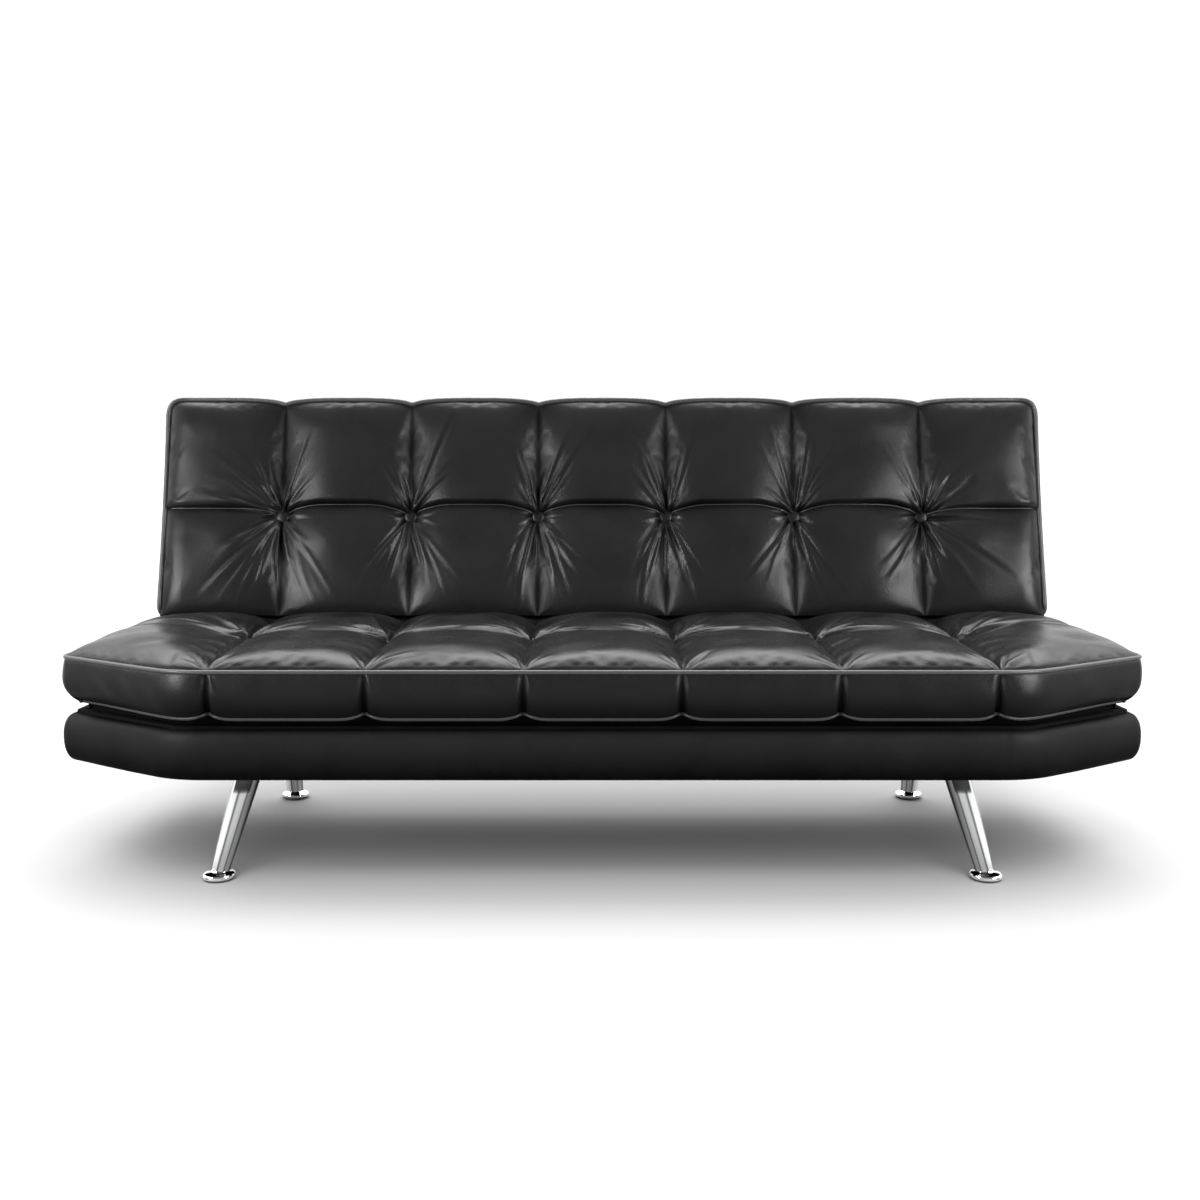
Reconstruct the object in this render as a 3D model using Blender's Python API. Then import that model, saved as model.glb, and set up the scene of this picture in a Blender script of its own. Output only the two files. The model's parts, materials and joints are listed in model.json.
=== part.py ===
"""Click-clack futon sofa bed: a padded seat on a base with splayed legs, and a backrest that folds flat.

Metres, +Z up, the front faces -Y. The origin is on the floor, under the middle of the whole sofa.
Depths are measured back from the cushion's front, and the empty "sofa" carries them to the origin.
The backrest is built upright round its hinge line, and the empty "backrest_hinge" leans it back.
"""

from math import cos, pi, radians, sin, tan

import bmesh
import bpy
from mathutils import Vector

# Seat cushion
SEAT_WIDTH = 1.793  # across the front corners
SEAT_TAPER = 0.065  # how much narrower the cushion is at the rear
SEAT_DEPTH = 0.583
SEAT_THICKNESS = 0.079
CORNER_WIDTH = 0.2165  # how far in from each side the front's cut corners start
CORNER_SETBACK = 0.147  # how far behind the front they end
PAD_ROUNDING = 0.018
PIPING_RADIUS = 0.004
PIPING_INSET = 0.0015  # the cord's centre, inside the cushion's squared-off corner

# Base
GROUND_CLEARANCE = 0.1875
BASE_HEIGHT = 0.079
BASE_FRONT = 0.018  # behind the cushion's front
BASE_PROUD = 0.006  # outside the cushion's sides
BASE_BEHIND = 0.005  # behind the cushion's rear
BASE_CORNER_OUT = 0.009  # the base's cut corners start further out and end further back
BASE_CORNER_BACK = 0.014
RECESS = 0.0175  # the dark gap between base and cushion, filled by the deck
DECK_SETBACK = 0.035
BAND_THICKNESS = 0.018
BAND_ROUNDING = 0.012
RAIL_THICKNESS = 0.025
LEG_BOARD_WIDTH = 0.110
LEG_BOARD_THICKNESS = 0.022
CENTRE_RAIL_WIDTH = 0.050
COVER_THICKNESS = 0.0015

# Legs
LEG_LEAN = radians(17.5)
FRONT_FOOT_INSET = 0.2605  # from the cushion's side
FRONT_FOOT_DEPTH = 0.085
REAR_FOOT_INSET = 0.2835
REAR_FOOT_BEHIND = 0.027  # behind the base
PLATE_RADIUS = 0.030
PLATE_THICKNESS = 0.004
GLIDE_THICKNESS = 0.003
GLIDE_RADIUS = 0.023
FLANGE_RADIUS = 0.027
FLANGE_HEIGHT = 0.016
ANKLE_RADIUS = 0.0158
ANKLE_FILLET = 0.004
TOP_RADIUS = 0.0225

# Backrest
BACK_INSET = 0.011  # each side, inside the cushion's rear corners
BACK_TOP = 0.503  # along the back, from the hinge line
BACK_THICKNESS = 0.112
BACK_FACE = 0.0765  # how far the face lies in front of the hinge line
BACK_LEAN = radians(16.8)
CREVICE = 0.010  # between the backrest's underside and the seat cushion
RIM = 0.030
POCKET_DEPTH = 0.0256
PANEL_THICKNESS = 0.006
PANEL_INSET = 0.008
BACK_RAIL_WIDTH = 0.045
TIE_RAIL_WIDTH = 0.060
BUTTON_DROP = 0.0174  # the button row, under the middle of the face
END_CHANNEL = 0.228
BUTTON_COUNT = 6
BUTTON_RADIUS = 0.0135
BUTTON_THICKNESS = 0.007
BUTTON_SINK = 0.006  # the button's back, behind the face
DIMPLE_DEPTH = 0.012
DIMPLE_RADIUS = 0.030

# Click-clack hinges
HINGE_BEHIND = 0.022  # the hinge line, behind the seat cushion
HINGE_BELOW = 0.078  # the hinge line, under the seat cushion's top
HINGE_INSET = 0.0655  # each ratchet, inside the backrest's side
PIN_RADIUS = 0.005
PIN_HEAD_RADIUS = 0.009
PIN_HEAD = 0.003
EYE_WALL = 0.010
BRACKET_THICKNESS = 0.004
BRACKET_DROP = 0.085  # the bracket's foot, under the hinge line
BRACKET_FLANGE = 0.040
ARM_THICKNESS = 0.005
ARM_WIDTH = 0.022
ARM_LENGTH = 0.300
RATCHET_THICKNESS = 0.005
RATCHET_RADIUS = 0.0155
RATCHET_TOOTH = 0.0028
RATCHET_TEETH = 16
TOOTH_FALL = 0.55  # the share of a tooth's pitch where it reaches its root
PAWL_BEHIND = 0.031
PAWL_BELOW = 0.030
PAWL_EYE = 0.0075
PAWL_NOSE = 0.005
PAWL_TAIL = 0.015
PAWL_CLEARANCE = 0.0008  # between its nose and the ratchet's tips
PAWL_PIN_RADIUS = 0.003
PAWL_PIN_HEAD = 0.006
SPRING_THICKNESS = 0.0012
SPRING_LIFT = 0.010  # the spring, above the bracket's foot
SPRING_CLEARANCE = 0.012  # below the pawl's tail, for its swing

GAP = 0.0003  # between pieces that touch
RUNNING = 0.0004  # round a pin
SLOT_CLEARANCE = 0.003  # round a hinge arm where it enters the backrest
THROUGH = 0.002  # how far a hole's cutter runs past each face

# Where things are, from the sizes above
SEAT_REAR_WIDTH = SEAT_WIDTH - SEAT_TAPER
SEAT_STRAIGHT = SEAT_WIDTH - 2 * CORNER_WIDTH
BASE_TOP = GROUND_CLEARANCE + BASE_HEIGHT
BASE_REAR = SEAT_DEPTH + BASE_BEHIND
SEAT_BOTTOM = BASE_TOP + RECESS
SEAT_TOP = SEAT_BOTTOM + SEAT_THICKNESS
RAIL_BOTTOM = GROUND_CLEARANCE + COVER_THICKNESS + GAP
PLATE_BOTTOM = GROUND_CLEARANCE - GAP - PLATE_THICKNESS
FRONT_FOOT = (SEAT_WIDTH / 2 - FRONT_FOOT_INSET, FRONT_FOOT_DEPTH)
REAR_FOOT = (SEAT_WIDTH / 2 - REAR_FOOT_INSET, BASE_REAR + REAR_FOOT_BEHIND)
HINGE_DEPTH = SEAT_DEPTH + HINGE_BEHIND
HINGE_HEIGHT = SEAT_TOP - HINGE_BELOW
BACK_WIDTH = SEAT_REAR_WIDTH - 2 * BACK_INSET
HINGE_SPACING = BACK_WIDTH - 2 * HINGE_INSET
BACK_REAR = BACK_THICKNESS - BACK_FACE  # the cushion's rear face, behind the hinge line
PANEL_REAR = BACK_REAR + GAP + PANEL_THICKNESS
PANEL_TOP = BACK_TOP - PANEL_INSET
POCKET_FRONT = BACK_REAR - POCKET_DEPTH
REARMOST = HINGE_DEPTH + PANEL_REAR * cos(BACK_LEAN) + PANEL_TOP * sin(BACK_LEAN)
FOREMOST = PIPING_INSET - PIPING_RADIUS
FRONT_Y = -(REARMOST + FOREMOST) / 2

COLOURS = {  # name: (colour, roughness, metallic)
    "leather": ((0.016, 0.016, 0.017), 0.42, 0.0),
    "piping_leather": ((0.020, 0.020, 0.021), 0.38, 0.0),
    "chrome": ((0.78, 0.79, 0.80), 0.08, 1.0),
    "timber": ((0.52, 0.36, 0.20), 0.65, 0.0),
    "plywood": ((0.43, 0.31, 0.19), 0.70, 0.0),
    "black_steel": ((0.03, 0.03, 0.032), 0.45, 0.6),
    "zinc_steel": ((0.50, 0.51, 0.52), 0.35, 1.0),
    "dust_cloth": ((0.015, 0.015, 0.016), 0.95, 0.0),
    "glide_plastic": ((0.02, 0.02, 0.02), 0.55, 0.0),
}


# --- helpers -----------------------------------------------------------------


def clear_scene():
    for old in list(bpy.data.objects):
        bpy.data.objects.remove(old)


def material(name):
    found = bpy.data.materials.get(name)
    if found:
        return found
    colour, roughness, metallic = COLOURS[name]
    made = bpy.data.materials.new(name)
    made.use_nodes = True
    shader = made.node_tree.nodes["Principled BSDF"]
    shader.inputs["Base Color"].default_value = (*colour, 1)
    shader.inputs["Roughness"].default_value = roughness
    shader.inputs["Metallic"].default_value = metallic
    made.diffuse_color = (*colour, 1)
    return made


def empty(name, parent=None, location=(0, 0, 0), lean=0.0):
    """A frame of reference that others are placed in."""
    made = bpy.data.objects.new(name, None)
    bpy.context.collection.objects.link(made)
    made.parent = parent
    made.location = location
    made.rotation_euler.x = -lean
    return made


def finish(name, bm, slot, parent, smooth=False):
    """The mesh becomes an object with outward faces and its own copy of the material."""
    bmesh.ops.recalc_face_normals(bm, faces=bm.faces)
    mesh = bpy.data.meshes.new(name)
    bm.to_mesh(mesh)
    bm.free()
    if smooth:
        mesh.shade_smooth()
        mesh.set_sharp_from_angle(angle=radians(35))
    made = bpy.data.objects.new(name, mesh)
    made.data.materials.append(material(slot))
    made.parent = parent
    bpy.context.collection.objects.link(made)
    return made


def loft(rings):
    """Closed loops of points, each joined to the next, with both ends filled."""
    bm = bmesh.new()
    loops = [[bm.verts.new(point) for point in ring] for ring in rings]
    for low, high in zip(loops, loops[1:]):
        for i in range(len(low)):
            j = (i + 1) % len(low)
            bm.faces.new((low[i], low[j], high[j], high[i]))
    bm.faces.new(loops[0])
    bm.faces.new(loops[-1])
    return bm


def prism_z(outline, low, high):
    return loft([[(x, y, z) for x, y in outline] for z in (low, high)])


def prism_x(profile, low, high):
    """profile holds (y, z) points, carried from x = low to x = high."""
    return loft([[(x, y, z) for y, z in profile] for x in (low, high)])


def box(low, high):
    corners = [(low[0], low[1]), (high[0], low[1]), (high[0], high[1]), (low[0], high[1])]
    return prism_z(corners, low[2], high[2])


def circle(centre, radius, sides=24):
    steps = [2 * pi * i / sides for i in range(sides)]
    return [(centre[0] + radius * cos(a), centre[1] + radius * sin(a)) for a in steps]


def round_edges(piece, width, segments=3):
    """Rounds every edge sharper than 30 degrees."""
    made = piece.modifiers.new("rounded", "BEVEL")
    made.width = width
    made.segments = segments
    made.limit_method = "ANGLE"
    made.angle_limit = radians(30)
    return made


def boolean(piece, tool, operation):
    """The tool stays in the scene as a hidden guide."""
    tool.hide_render = True
    tool.display_type = "WIRE"
    made = piece.modifiers.new(operation.lower(), "BOOLEAN")
    made.operation = operation
    made.solver = "EXACT"
    made.object = tool


def inset(outline, distance):
    """The outline's sides moved inwards by distance. The outline runs anticlockwise."""
    count = len(outline)
    moved = []
    for i in range(count):
        here = Vector(outline[i])
        before = (here - Vector(outline[i - 1])).normalized()
        after = (Vector(outline[(i + 1) % count]) - here).normalized()
        inward = Vector((-before.y, before.x))
        turn = before.x * after.y - before.y * after.x
        slide = (1 - before.dot(after)) / turn
        moved.append(tuple(here + inward * distance + before * -slide * distance))
    return moved


def plan(width, rear_width, straight, front, corner, rear):
    """A plan with cut front corners, anticlockwise from the front's left end."""
    right = [(straight / 2, front), (width / 2, corner), (rear_width / 2, rear)]
    return [(-straight / 2, front)] + right + [(-rear_width / 2, rear), (-width / 2, corner)]


FRONT, RIGHT_CORNER, RIGHT_SIDE, REAR, LEFT_SIDE, LEFT_CORNER = range(6)


def moulding(outline, side, profile):
    """A length of rail or band along one side of a plan, mitred at both ends.

    profile holds (distance inside the plan, height) points, and each end stops half a gap short.
    """
    ends = [[], []]
    for depth, height in profile:
        ring = inset(outline, depth)
        start, stop = Vector(ring[side]), Vector(ring[(side + 1) % len(ring)])
        short = (stop - start).normalized() * GAP
        ends[0].append((*(start + short), height))
        ends[1].append((*(stop - short), height))
    return loft(ends)


def band_profile(thickness, rounding, low, high):
    """Flat inside, with its two outer edges rounded."""
    steps = [pi / 2 * i / 4 for i in range(5)]
    lower = [(rounding - rounding * sin(a), low + rounding - rounding * cos(a)) for a in steps]
    upper = [(rounding - rounding * cos(a), high - rounding + rounding * sin(a)) for a in steps]
    return [(thickness, low)] + lower + upper + [(thickness, high)]


# --- base ----------------------------------------------------------------------


def base_plan():
    width = SEAT_WIDTH + 2 * BASE_PROUD
    straight = SEAT_STRAIGHT + 2 * BASE_CORNER_OUT
    return plan(width, SEAT_REAR_WIDTH, straight, BASE_FRONT, CORNER_SETBACK + BASE_CORNER_BACK, BASE_REAR)


def make_base(sofa):
    outline = base_plan()
    rail_names = {
        FRONT: "front_rail",
        RIGHT_CORNER: "right_corner_rail",
        RIGHT_SIDE: "right_side_rail",
        REAR: "rear_rail",
        LEFT_SIDE: "left_side_rail",
        LEFT_CORNER: "left_corner_rail",
    }
    inner = BAND_THICKNESS + GAP
    rail = [(inner, RAIL_BOTTOM), (inner + RAIL_THICKNESS, RAIL_BOTTOM)]
    rail += [(depth, BASE_TOP) for depth, _ in reversed(rail)]
    for side, name in rail_names.items():
        finish(name, moulding(outline, side, rail), "timber", sofa)
        band = band_profile(BAND_THICKNESS, BAND_ROUNDING, GROUND_CLEARANCE, BASE_TOP)
        finish(name.replace("rail", "band"), moulding(outline, side, band), "leather", sofa, smooth=True)

    front = BASE_FRONT + inner + RAIL_THICKNESS + GAP
    rear = BASE_REAR - inner - RAIL_THICKNESS - GAP
    board_top = RAIL_BOTTOM + LEG_BOARD_THICKNESS
    board_x = (leg_centre(FRONT_FOOT, (-1, 0), PLATE_BOTTOM)[0] + REAR_FOOT[0]) / 2
    for side, name in ((-1, "left_leg_board"), (1, "right_leg_board")):
        edges = sorted(side * (board_x + half) for half in (-LEG_BOARD_WIDTH / 2, LEG_BOARD_WIDTH / 2))
        board = box((edges[0], front, RAIL_BOTTOM), (edges[1], rear, board_top))
        finish(name, board, "timber", sofa)
    half = CENTRE_RAIL_WIDTH / 2
    finish("centre_rail", box((-half, front, RAIL_BOTTOM), (half, rear, BASE_TOP)), "timber", sofa)

    deck = inset(outline, DECK_SETBACK)
    finish("seat_deck", prism_z(deck, BASE_TOP + GAP, SEAT_BOTTOM - GAP), "plywood", sofa)
    cover = inset(outline, BAND_THICKNESS + GAP)
    cloth = prism_z(cover, GROUND_CLEARANCE, GROUND_CLEARANCE + COVER_THICKNESS)
    finish("dust_cover", cloth, "dust_cloth", sofa)


# --- legs ------------------------------------------------------------------------


def leg_centre(foot, towards, height):
    """A leg's middle at that height, in plan: the lean carries it from its foot towards the base."""
    reach = height * tan(LEG_LEAN)
    return foot[0] + towards[0] * reach, foot[1] + towards[1] * reach


def make_leg(name, foot, towards, sofa):
    low = GLIDE_THICKNESS + GAP
    high = PLATE_BOTTOM - GAP
    ankle = low + FLANGE_HEIGHT
    shank = high - ankle
    rings = [
        (low, FLANGE_RADIUS * 0.90),
        (low + FLANGE_HEIGHT * 0.12, FLANGE_RADIUS * 0.98),
        (low + FLANGE_HEIGHT * 0.40, FLANGE_RADIUS),
        (low + FLANGE_HEIGHT * 0.70, FLANGE_RADIUS * 0.96),
        (low + FLANGE_HEIGHT * 0.86, FLANGE_RADIUS * 0.85),
        (ankle, ANKLE_RADIUS + ANKLE_FILLET / 2),
        (ankle + ANKLE_FILLET, ANKLE_RADIUS),
        (ankle + shank * 0.45, (ANKLE_RADIUS + TOP_RADIUS) / 2),
        (high, TOP_RADIUS),
    ]
    loops = []
    for height, radius in rings:
        loops.append([(*point, height) for point in circle(leg_centre(foot, towards, height), radius)])
    finish(name, loft(loops), "chrome", sofa, smooth=True)

    round_plate = circle(leg_centre(foot, towards, PLATE_BOTTOM), PLATE_RADIUS)
    plate = prism_z(round_plate, PLATE_BOTTOM, PLATE_BOTTOM + PLATE_THICKNESS)
    finish(name + "_plate", plate, "black_steel", sofa, smooth=True)
    glide = prism_z(circle(leg_centre(foot, towards, low), GLIDE_RADIUS), 0, GLIDE_THICKNESS)
    finish(name + "_glide", glide, "glide_plastic", sofa, smooth=True)


def make_legs(sofa):
    for side, word in ((-1, "left"), (1, "right")):
        make_leg(f"front_{word}_leg", (side * FRONT_FOOT[0], FRONT_FOOT[1]), (-side, 0), sofa)
        make_leg(f"rear_{word}_leg", (side * REAR_FOOT[0], REAR_FOOT[1]), (0, -1), sofa)


# --- seat ------------------------------------------------------------------------


def piping(name, points, parent):
    """A closed cord of round section through the points."""
    curve = bpy.data.curves.new(name, "CURVE")
    curve.dimensions = "3D"
    curve.bevel_depth = PIPING_RADIUS
    curve.bevel_resolution = 1
    spline = curve.splines.new("POLY")
    spline.points.add(len(points) - 1)
    for target, point in zip(spline.points, points):
        target.co = (*point, 1)
    spline.use_cyclic_u = True
    curve.materials.append(material("piping_leather"))
    made = bpy.data.objects.new(name, curve)
    made.parent = parent
    bpy.context.collection.objects.link(made)


def make_seat(sofa):
    outline = plan(SEAT_WIDTH, SEAT_REAR_WIDTH, SEAT_STRAIGHT, 0, CORNER_SETBACK, SEAT_DEPTH)
    pad = finish("seat_pad", prism_z(outline, SEAT_BOTTOM, SEAT_TOP), "leather", sofa, smooth=True)
    round_edges(pad, PAD_ROUNDING)
    cord = inset(outline, PIPING_INSET)
    upper, lower = SEAT_TOP - PIPING_INSET, SEAT_BOTTOM + PIPING_INSET
    piping("seat_piping_upper", [(x, y, upper) for x, y in cord], sofa)
    piping("seat_piping_lower", [(x, y, lower) for x, y in cord], sofa)


# --- backrest ----------------------------------------------------------------------


def back_underside(y):
    """The height of the cushion's underside at depth y: level when the backrest is up."""
    rise = SEAT_TOP + CREVICE - HINGE_HEIGHT
    return (rise + y * sin(BACK_LEAN)) / cos(BACK_LEAN)


def rounded_rectangle(half_width, low, high, radius, steps=4):
    """(x, z) points, anticlockwise, with round corners."""
    points = []
    for sx, z, start in ((1, low, -90), (1, high, 0), (-1, high, 90), (-1, low, 180)):
        middle_z = z + radius if z == low else z - radius
        for i in range(steps + 1):
            a = radians(start + 90 * i / steps)
            points.append((sx * (half_width - radius) + radius * cos(a), middle_z + radius * sin(a)))
    return points


def make_back_pad(hinge):
    half = BACK_WIDTH / 2
    side = [
        (-BACK_FACE, back_underside(-BACK_FACE)),
        (BACK_REAR, back_underside(BACK_REAR)),
        (BACK_REAR, BACK_TOP),
        (-BACK_FACE, BACK_TOP),
    ]
    pad = finish("back_pad", prism_x(side, -half, half), "leather", hinge, smooth=True)
    round_edges(pad, PAD_ROUNDING)
    low, high, reach = pocket()
    pocket_box = box((-reach, POCKET_FRONT, low), (reach, BACK_REAR + RIM, high))
    boolean(pad, finish("pocket_cutter", pocket_box, "leather", hinge), "DIFFERENCE")
    for side, word in ((-1, "left"), (1, "right")):
        inner = arm_plane()[0] - SLOT_CLEARANCE
        outer = arm_plane()[1] + SLOT_CLEARANCE
        ends = sorted((side * inner, side * outer))
        slot_front = POCKET_FRONT - SLOT_CLEARANCE
        slot = box((ends[0], slot_front, 0), (ends[1], BACK_REAR + RIM, low + RIM))
        boolean(pad, finish(word + "_slot_cutter", slot, "leather", hinge), "DIFFERENCE")
    dimple_centre = DIMPLE_DEPTH - DIMPLE_RADIUS - BACK_FACE
    for i, x in enumerate(button_places()):
        ball = bmesh.new()
        bmesh.ops.create_uvsphere(ball, u_segments=16, v_segments=10, radius=DIMPLE_RADIUS)
        bmesh.ops.translate(ball, verts=ball.verts, vec=(x, dimple_centre, button_row()))
        boolean(pad, finish(f"dimple_cutter_{i + 1}", ball, "leather", hinge), "DIFFERENCE")


def button_places():
    """The buttons' x values, one on each seam between two channels."""
    pitch = (BACK_WIDTH - 2 * END_CHANNEL) / (BUTTON_COUNT - 1)
    return [END_CHANNEL - BACK_WIDTH / 2 + i * pitch for i in range(BUTTON_COUNT)]


def button_row():
    """How far up the back the buttons are, from the hinge line."""
    return (back_underside(-BACK_FACE) + BACK_TOP) / 2 - BUTTON_DROP


def make_buttons(hinge):
    """Domed discs. Each has its back in its dimple and its dome towards the sitter."""
    seat = BUTTON_SINK - BACK_FACE
    dome = ((0, 0.80), (0.2, 1.0), (0.5, 0.96), (0.8, 0.72), (1, 0.35))
    for i, x in enumerate(button_places()):
        rings = []
        for height, share in dome:
            loop = circle((x, button_row()), BUTTON_RADIUS * share, 20)
            rings.append([(px, seat - height * BUTTON_THICKNESS, pz) for px, pz in loop])
        finish(f"back_button_{i + 1}", loft(rings), "piping_leather", hinge, smooth=True)


def pocket():
    """The hollow in the cushion's rear that holds the frame: its foot, its head and its half width."""
    return back_underside(BACK_REAR) + RIM, BACK_TOP - RIM, BACK_WIDTH / 2 - RIM


def make_back_frame(hinge):
    """Full-height stiles, with the arms against their inner faces and the rails between the arms."""
    low, high, reach = pocket()
    low, high, reach = low + GAP, high - GAP, reach - GAP
    front, rear = POCKET_FRONT + GAP, BACK_REAR - GAP
    between_arms = arm_plane()[0] - GAP
    stile_inner = arm_plane()[1] + GAP
    for side, word in ((-1, "left"), (1, "right")):
        ends = sorted((side * stile_inner, side * reach))
        finish(f"back_{word}_stile", box((ends[0], front, low), (ends[1], rear, high)), "timber", hinge)
    half_tie = TIE_RAIL_WIDTH / 2
    rails = {
        "back_bottom_rail": (between_arms, low, low + BACK_RAIL_WIDTH),
        "back_tie_rail": (between_arms, button_row() - half_tie, button_row() + half_tie),
        "back_top_rail": (stile_inner - GAP, high - BACK_RAIL_WIDTH, high),
    }
    for name, (half, foot, head) in rails.items():
        finish(name, box((-half, front, foot), (half, rear, head)), "timber", hinge)
    panel_half = BACK_WIDTH / 2 - PANEL_INSET
    foot = back_underside(BACK_REAR) + PANEL_INSET
    panel = box((-panel_half, BACK_REAR + GAP, foot), (panel_half, PANEL_REAR, PANEL_TOP))
    finish("back_panel", panel, "leather", hinge)


def make_back_piping(hinge):
    """The cord round the backrest's face. It stands in the rounding of the cushion's edge."""
    half = BACK_WIDTH / 2 - PIPING_INSET
    low = back_underside(-BACK_FACE) + PIPING_INSET
    points = rounded_rectangle(half, low, BACK_TOP - PIPING_INSET, PIPING_RADIUS * 2)
    piping("back_piping", [(x, -BACK_FACE + PIPING_INSET, z) for x, z in points], hinge)


# --- hinges ------------------------------------------------------------------------


def arm_plane():
    """The two x values of the right arm's faces. The ratchet and the bracket lie inside of it."""
    inner = ratchet_plane()[1] + GAP
    return inner, inner + ARM_THICKNESS


def eye_radius():
    return PIN_RADIUS + EYE_WALL


def hull_round(centre, radius, others):
    """A plate round an eye: the eye's circle joined to the other corners by its outermost points."""
    points = [Vector(p) for p in circle(centre, radius, 32)] + [Vector(p) for p in others]
    start = min(points, key=lambda p: (p.x, p.y))
    edge, here = [], start
    while True:
        edge.append(tuple(here))
        following = points[0] if points[0] != here else points[1]
        for p in points:
            side = (following.x - here.x) * (p.y - here.y) - (following.y - here.y) * (p.x - here.x)
            if p != here and (side < 0 or following == here):
                following = p
        here = following
        if here == start:
            return edge


def bored(name, bm, slot, parent, centre, radius, ends):
    """A plate with a round hole through it along x, at the (y, z) centre."""
    piece = finish(name, bm, slot, parent)
    tool = prism_x(circle(centre, radius), ends[0] - THROUGH, ends[1] + THROUGH)
    boolean(piece, finish(name + "_cutter", tool, slot, parent), "DIFFERENCE")
    return piece


def plate_ends(side, inner, outer):
    """The x values of a plate's two faces, in order. side is -1 on the left and 1 on the right."""
    return tuple(sorted((side * inner, side * outer)))


def ratchet_plane():
    inner = HINGE_SPACING / 2 - RATCHET_THICKNESS / 2
    return inner, inner + RATCHET_THICKNESS


def bracket_plane():
    outer = ratchet_plane()[0] - GAP
    return outer - BRACKET_THICKNESS, outer


def hinge_at():
    return HINGE_DEPTH, HINGE_HEIGHT


def pawl_at():
    return HINGE_DEPTH + PAWL_BEHIND, HINGE_HEIGHT - PAWL_BELOW


def bracket_foot():
    return HINGE_HEIGHT - BRACKET_DROP


def make_bracket(side, word, sofa):
    """Stands on the base's rear band, its ear rising to the hinge line and its flange turned inwards."""
    ends = plate_ends(side, *bracket_plane())
    face = BASE_REAR + GAP
    foot = bracket_foot()
    behind, height = pawl_at()
    corners = [(face, foot), (face, HINGE_HEIGHT - EYE_WALL), (behind, foot), (behind + PAWL_EYE, height)]
    ear = prism_x(hull_round(hinge_at(), eye_radius(), corners), *ends)
    name = f"{word}_hinge_bracket"
    bracket = bored(name, ear, "black_steel", sofa, hinge_at(), PIN_RADIUS + RUNNING, ends)
    inner = bracket_plane()[0]
    flange_ends = plate_ends(side, inner - BRACKET_FLANGE, inner + BRACKET_THICKNESS / 2)
    flange_top = min(BASE_TOP - BAND_ROUNDING, HINGE_HEIGHT - eye_radius())
    flange = box((flange_ends[0], face, foot), (flange_ends[1], face + BRACKET_THICKNESS, flange_top))
    boolean(bracket, finish(name + "_flange", flange, "black_steel", sofa), "UNION")
    hole = prism_x(circle(pawl_at(), PAWL_PIN_RADIUS + RUNNING), ends[0] - THROUGH, ends[1] + THROUGH)
    boolean(bracket, finish(name + "_pawl_hole", hole, "black_steel", sofa), "DIFFERENCE")


def make_pin(name, side, at, radius, head_radius, inner, outer, parent):
    """A pin along x with a head outside each plate."""
    rings = []
    stops = [(inner - GAP - PIN_HEAD, head_radius), (inner - GAP, head_radius), (inner - GAP, radius)]
    stops += [(outer + GAP, radius), (outer + GAP, head_radius), (outer + GAP + PIN_HEAD, head_radius)]
    for x, size in stops:
        rings.append([(side * x, *point) for point in circle(at, size)])
    finish(name, loft(rings), "zinc_steel", parent, smooth=True)


def make_arm(side, word, hinge):
    """A flat bar from the hinge line up the inner face of the backrest's stile."""
    foot, _, _ = pocket()
    front = POCKET_FRONT + GAP
    rear = min(front + ARM_WIDTH, BACK_REAR - GAP)
    knee = foot - RIM - SLOT_CLEARANCE
    eye = eye_radius()
    turn = [pi - pi * i / 12 for i in range(13)]
    outline = [(eye * cos(a), -eye * sin(a)) for a in turn]
    outline += [(rear, knee), (rear, ARM_LENGTH), (front, ARM_LENGTH), (front, knee), (-eye, eye)]
    ends = plate_ends(side, *arm_plane())
    hole = PIN_RADIUS + RUNNING
    bored(f"{word}_hinge_arm", prism_x(outline, *ends), "zinc_steel", hinge, (0, 0), hole, ends)


def make_ratchet(side, word, hinge):
    """A toothed wheel on the arm. Each tooth rises at once and falls slowly."""
    teeth = []
    step = 2 * pi / RATCHET_TEETH
    for i in range(RATCHET_TEETH):
        tip, root = i * step, (i + TOOTH_FALL) * step
        low = RATCHET_RADIUS - RATCHET_TOOTH
        teeth.append((RATCHET_RADIUS * cos(tip), RATCHET_RADIUS * sin(tip)))
        teeth.append((low * cos(root), low * sin(root)))
    ends = plate_ends(side, *ratchet_plane())
    hole = PIN_RADIUS + RUNNING
    bored(f"{word}_ratchet", prism_x(teeth, *ends), "zinc_steel", hinge, (0, 0), hole, ends)


def pawl_direction():
    """From the pawl's pin to the hinge line, as a unit vector in (y, z)."""
    return Vector((-PAWL_BEHIND, PAWL_BELOW)).normalized()


def make_pawl(side, word, sofa):
    """Lies under the ratchet, built round its own pin. Its nose stops just clear of the teeth."""
    pivot = empty(word + "_pawl_pivot", sofa, (0, *pawl_at()))
    reach = Vector((PAWL_BEHIND, PAWL_BELOW)).length - RATCHET_RADIUS - PAWL_CLEARANCE
    along = pawl_direction()
    beside = Vector((-along.y, along.x)) * PAWL_NOSE / 2
    corners = [along * reach + beside, along * reach - beside, along * -PAWL_TAIL]
    ends = plate_ends(side, *ratchet_plane())
    body = prism_x(hull_round((0, 0), PAWL_EYE, corners), *ends)
    bored(f"{word}_pawl", body, "zinc_steel", pivot, (0, 0), PAWL_PIN_RADIUS + RUNNING, ends)


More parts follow.
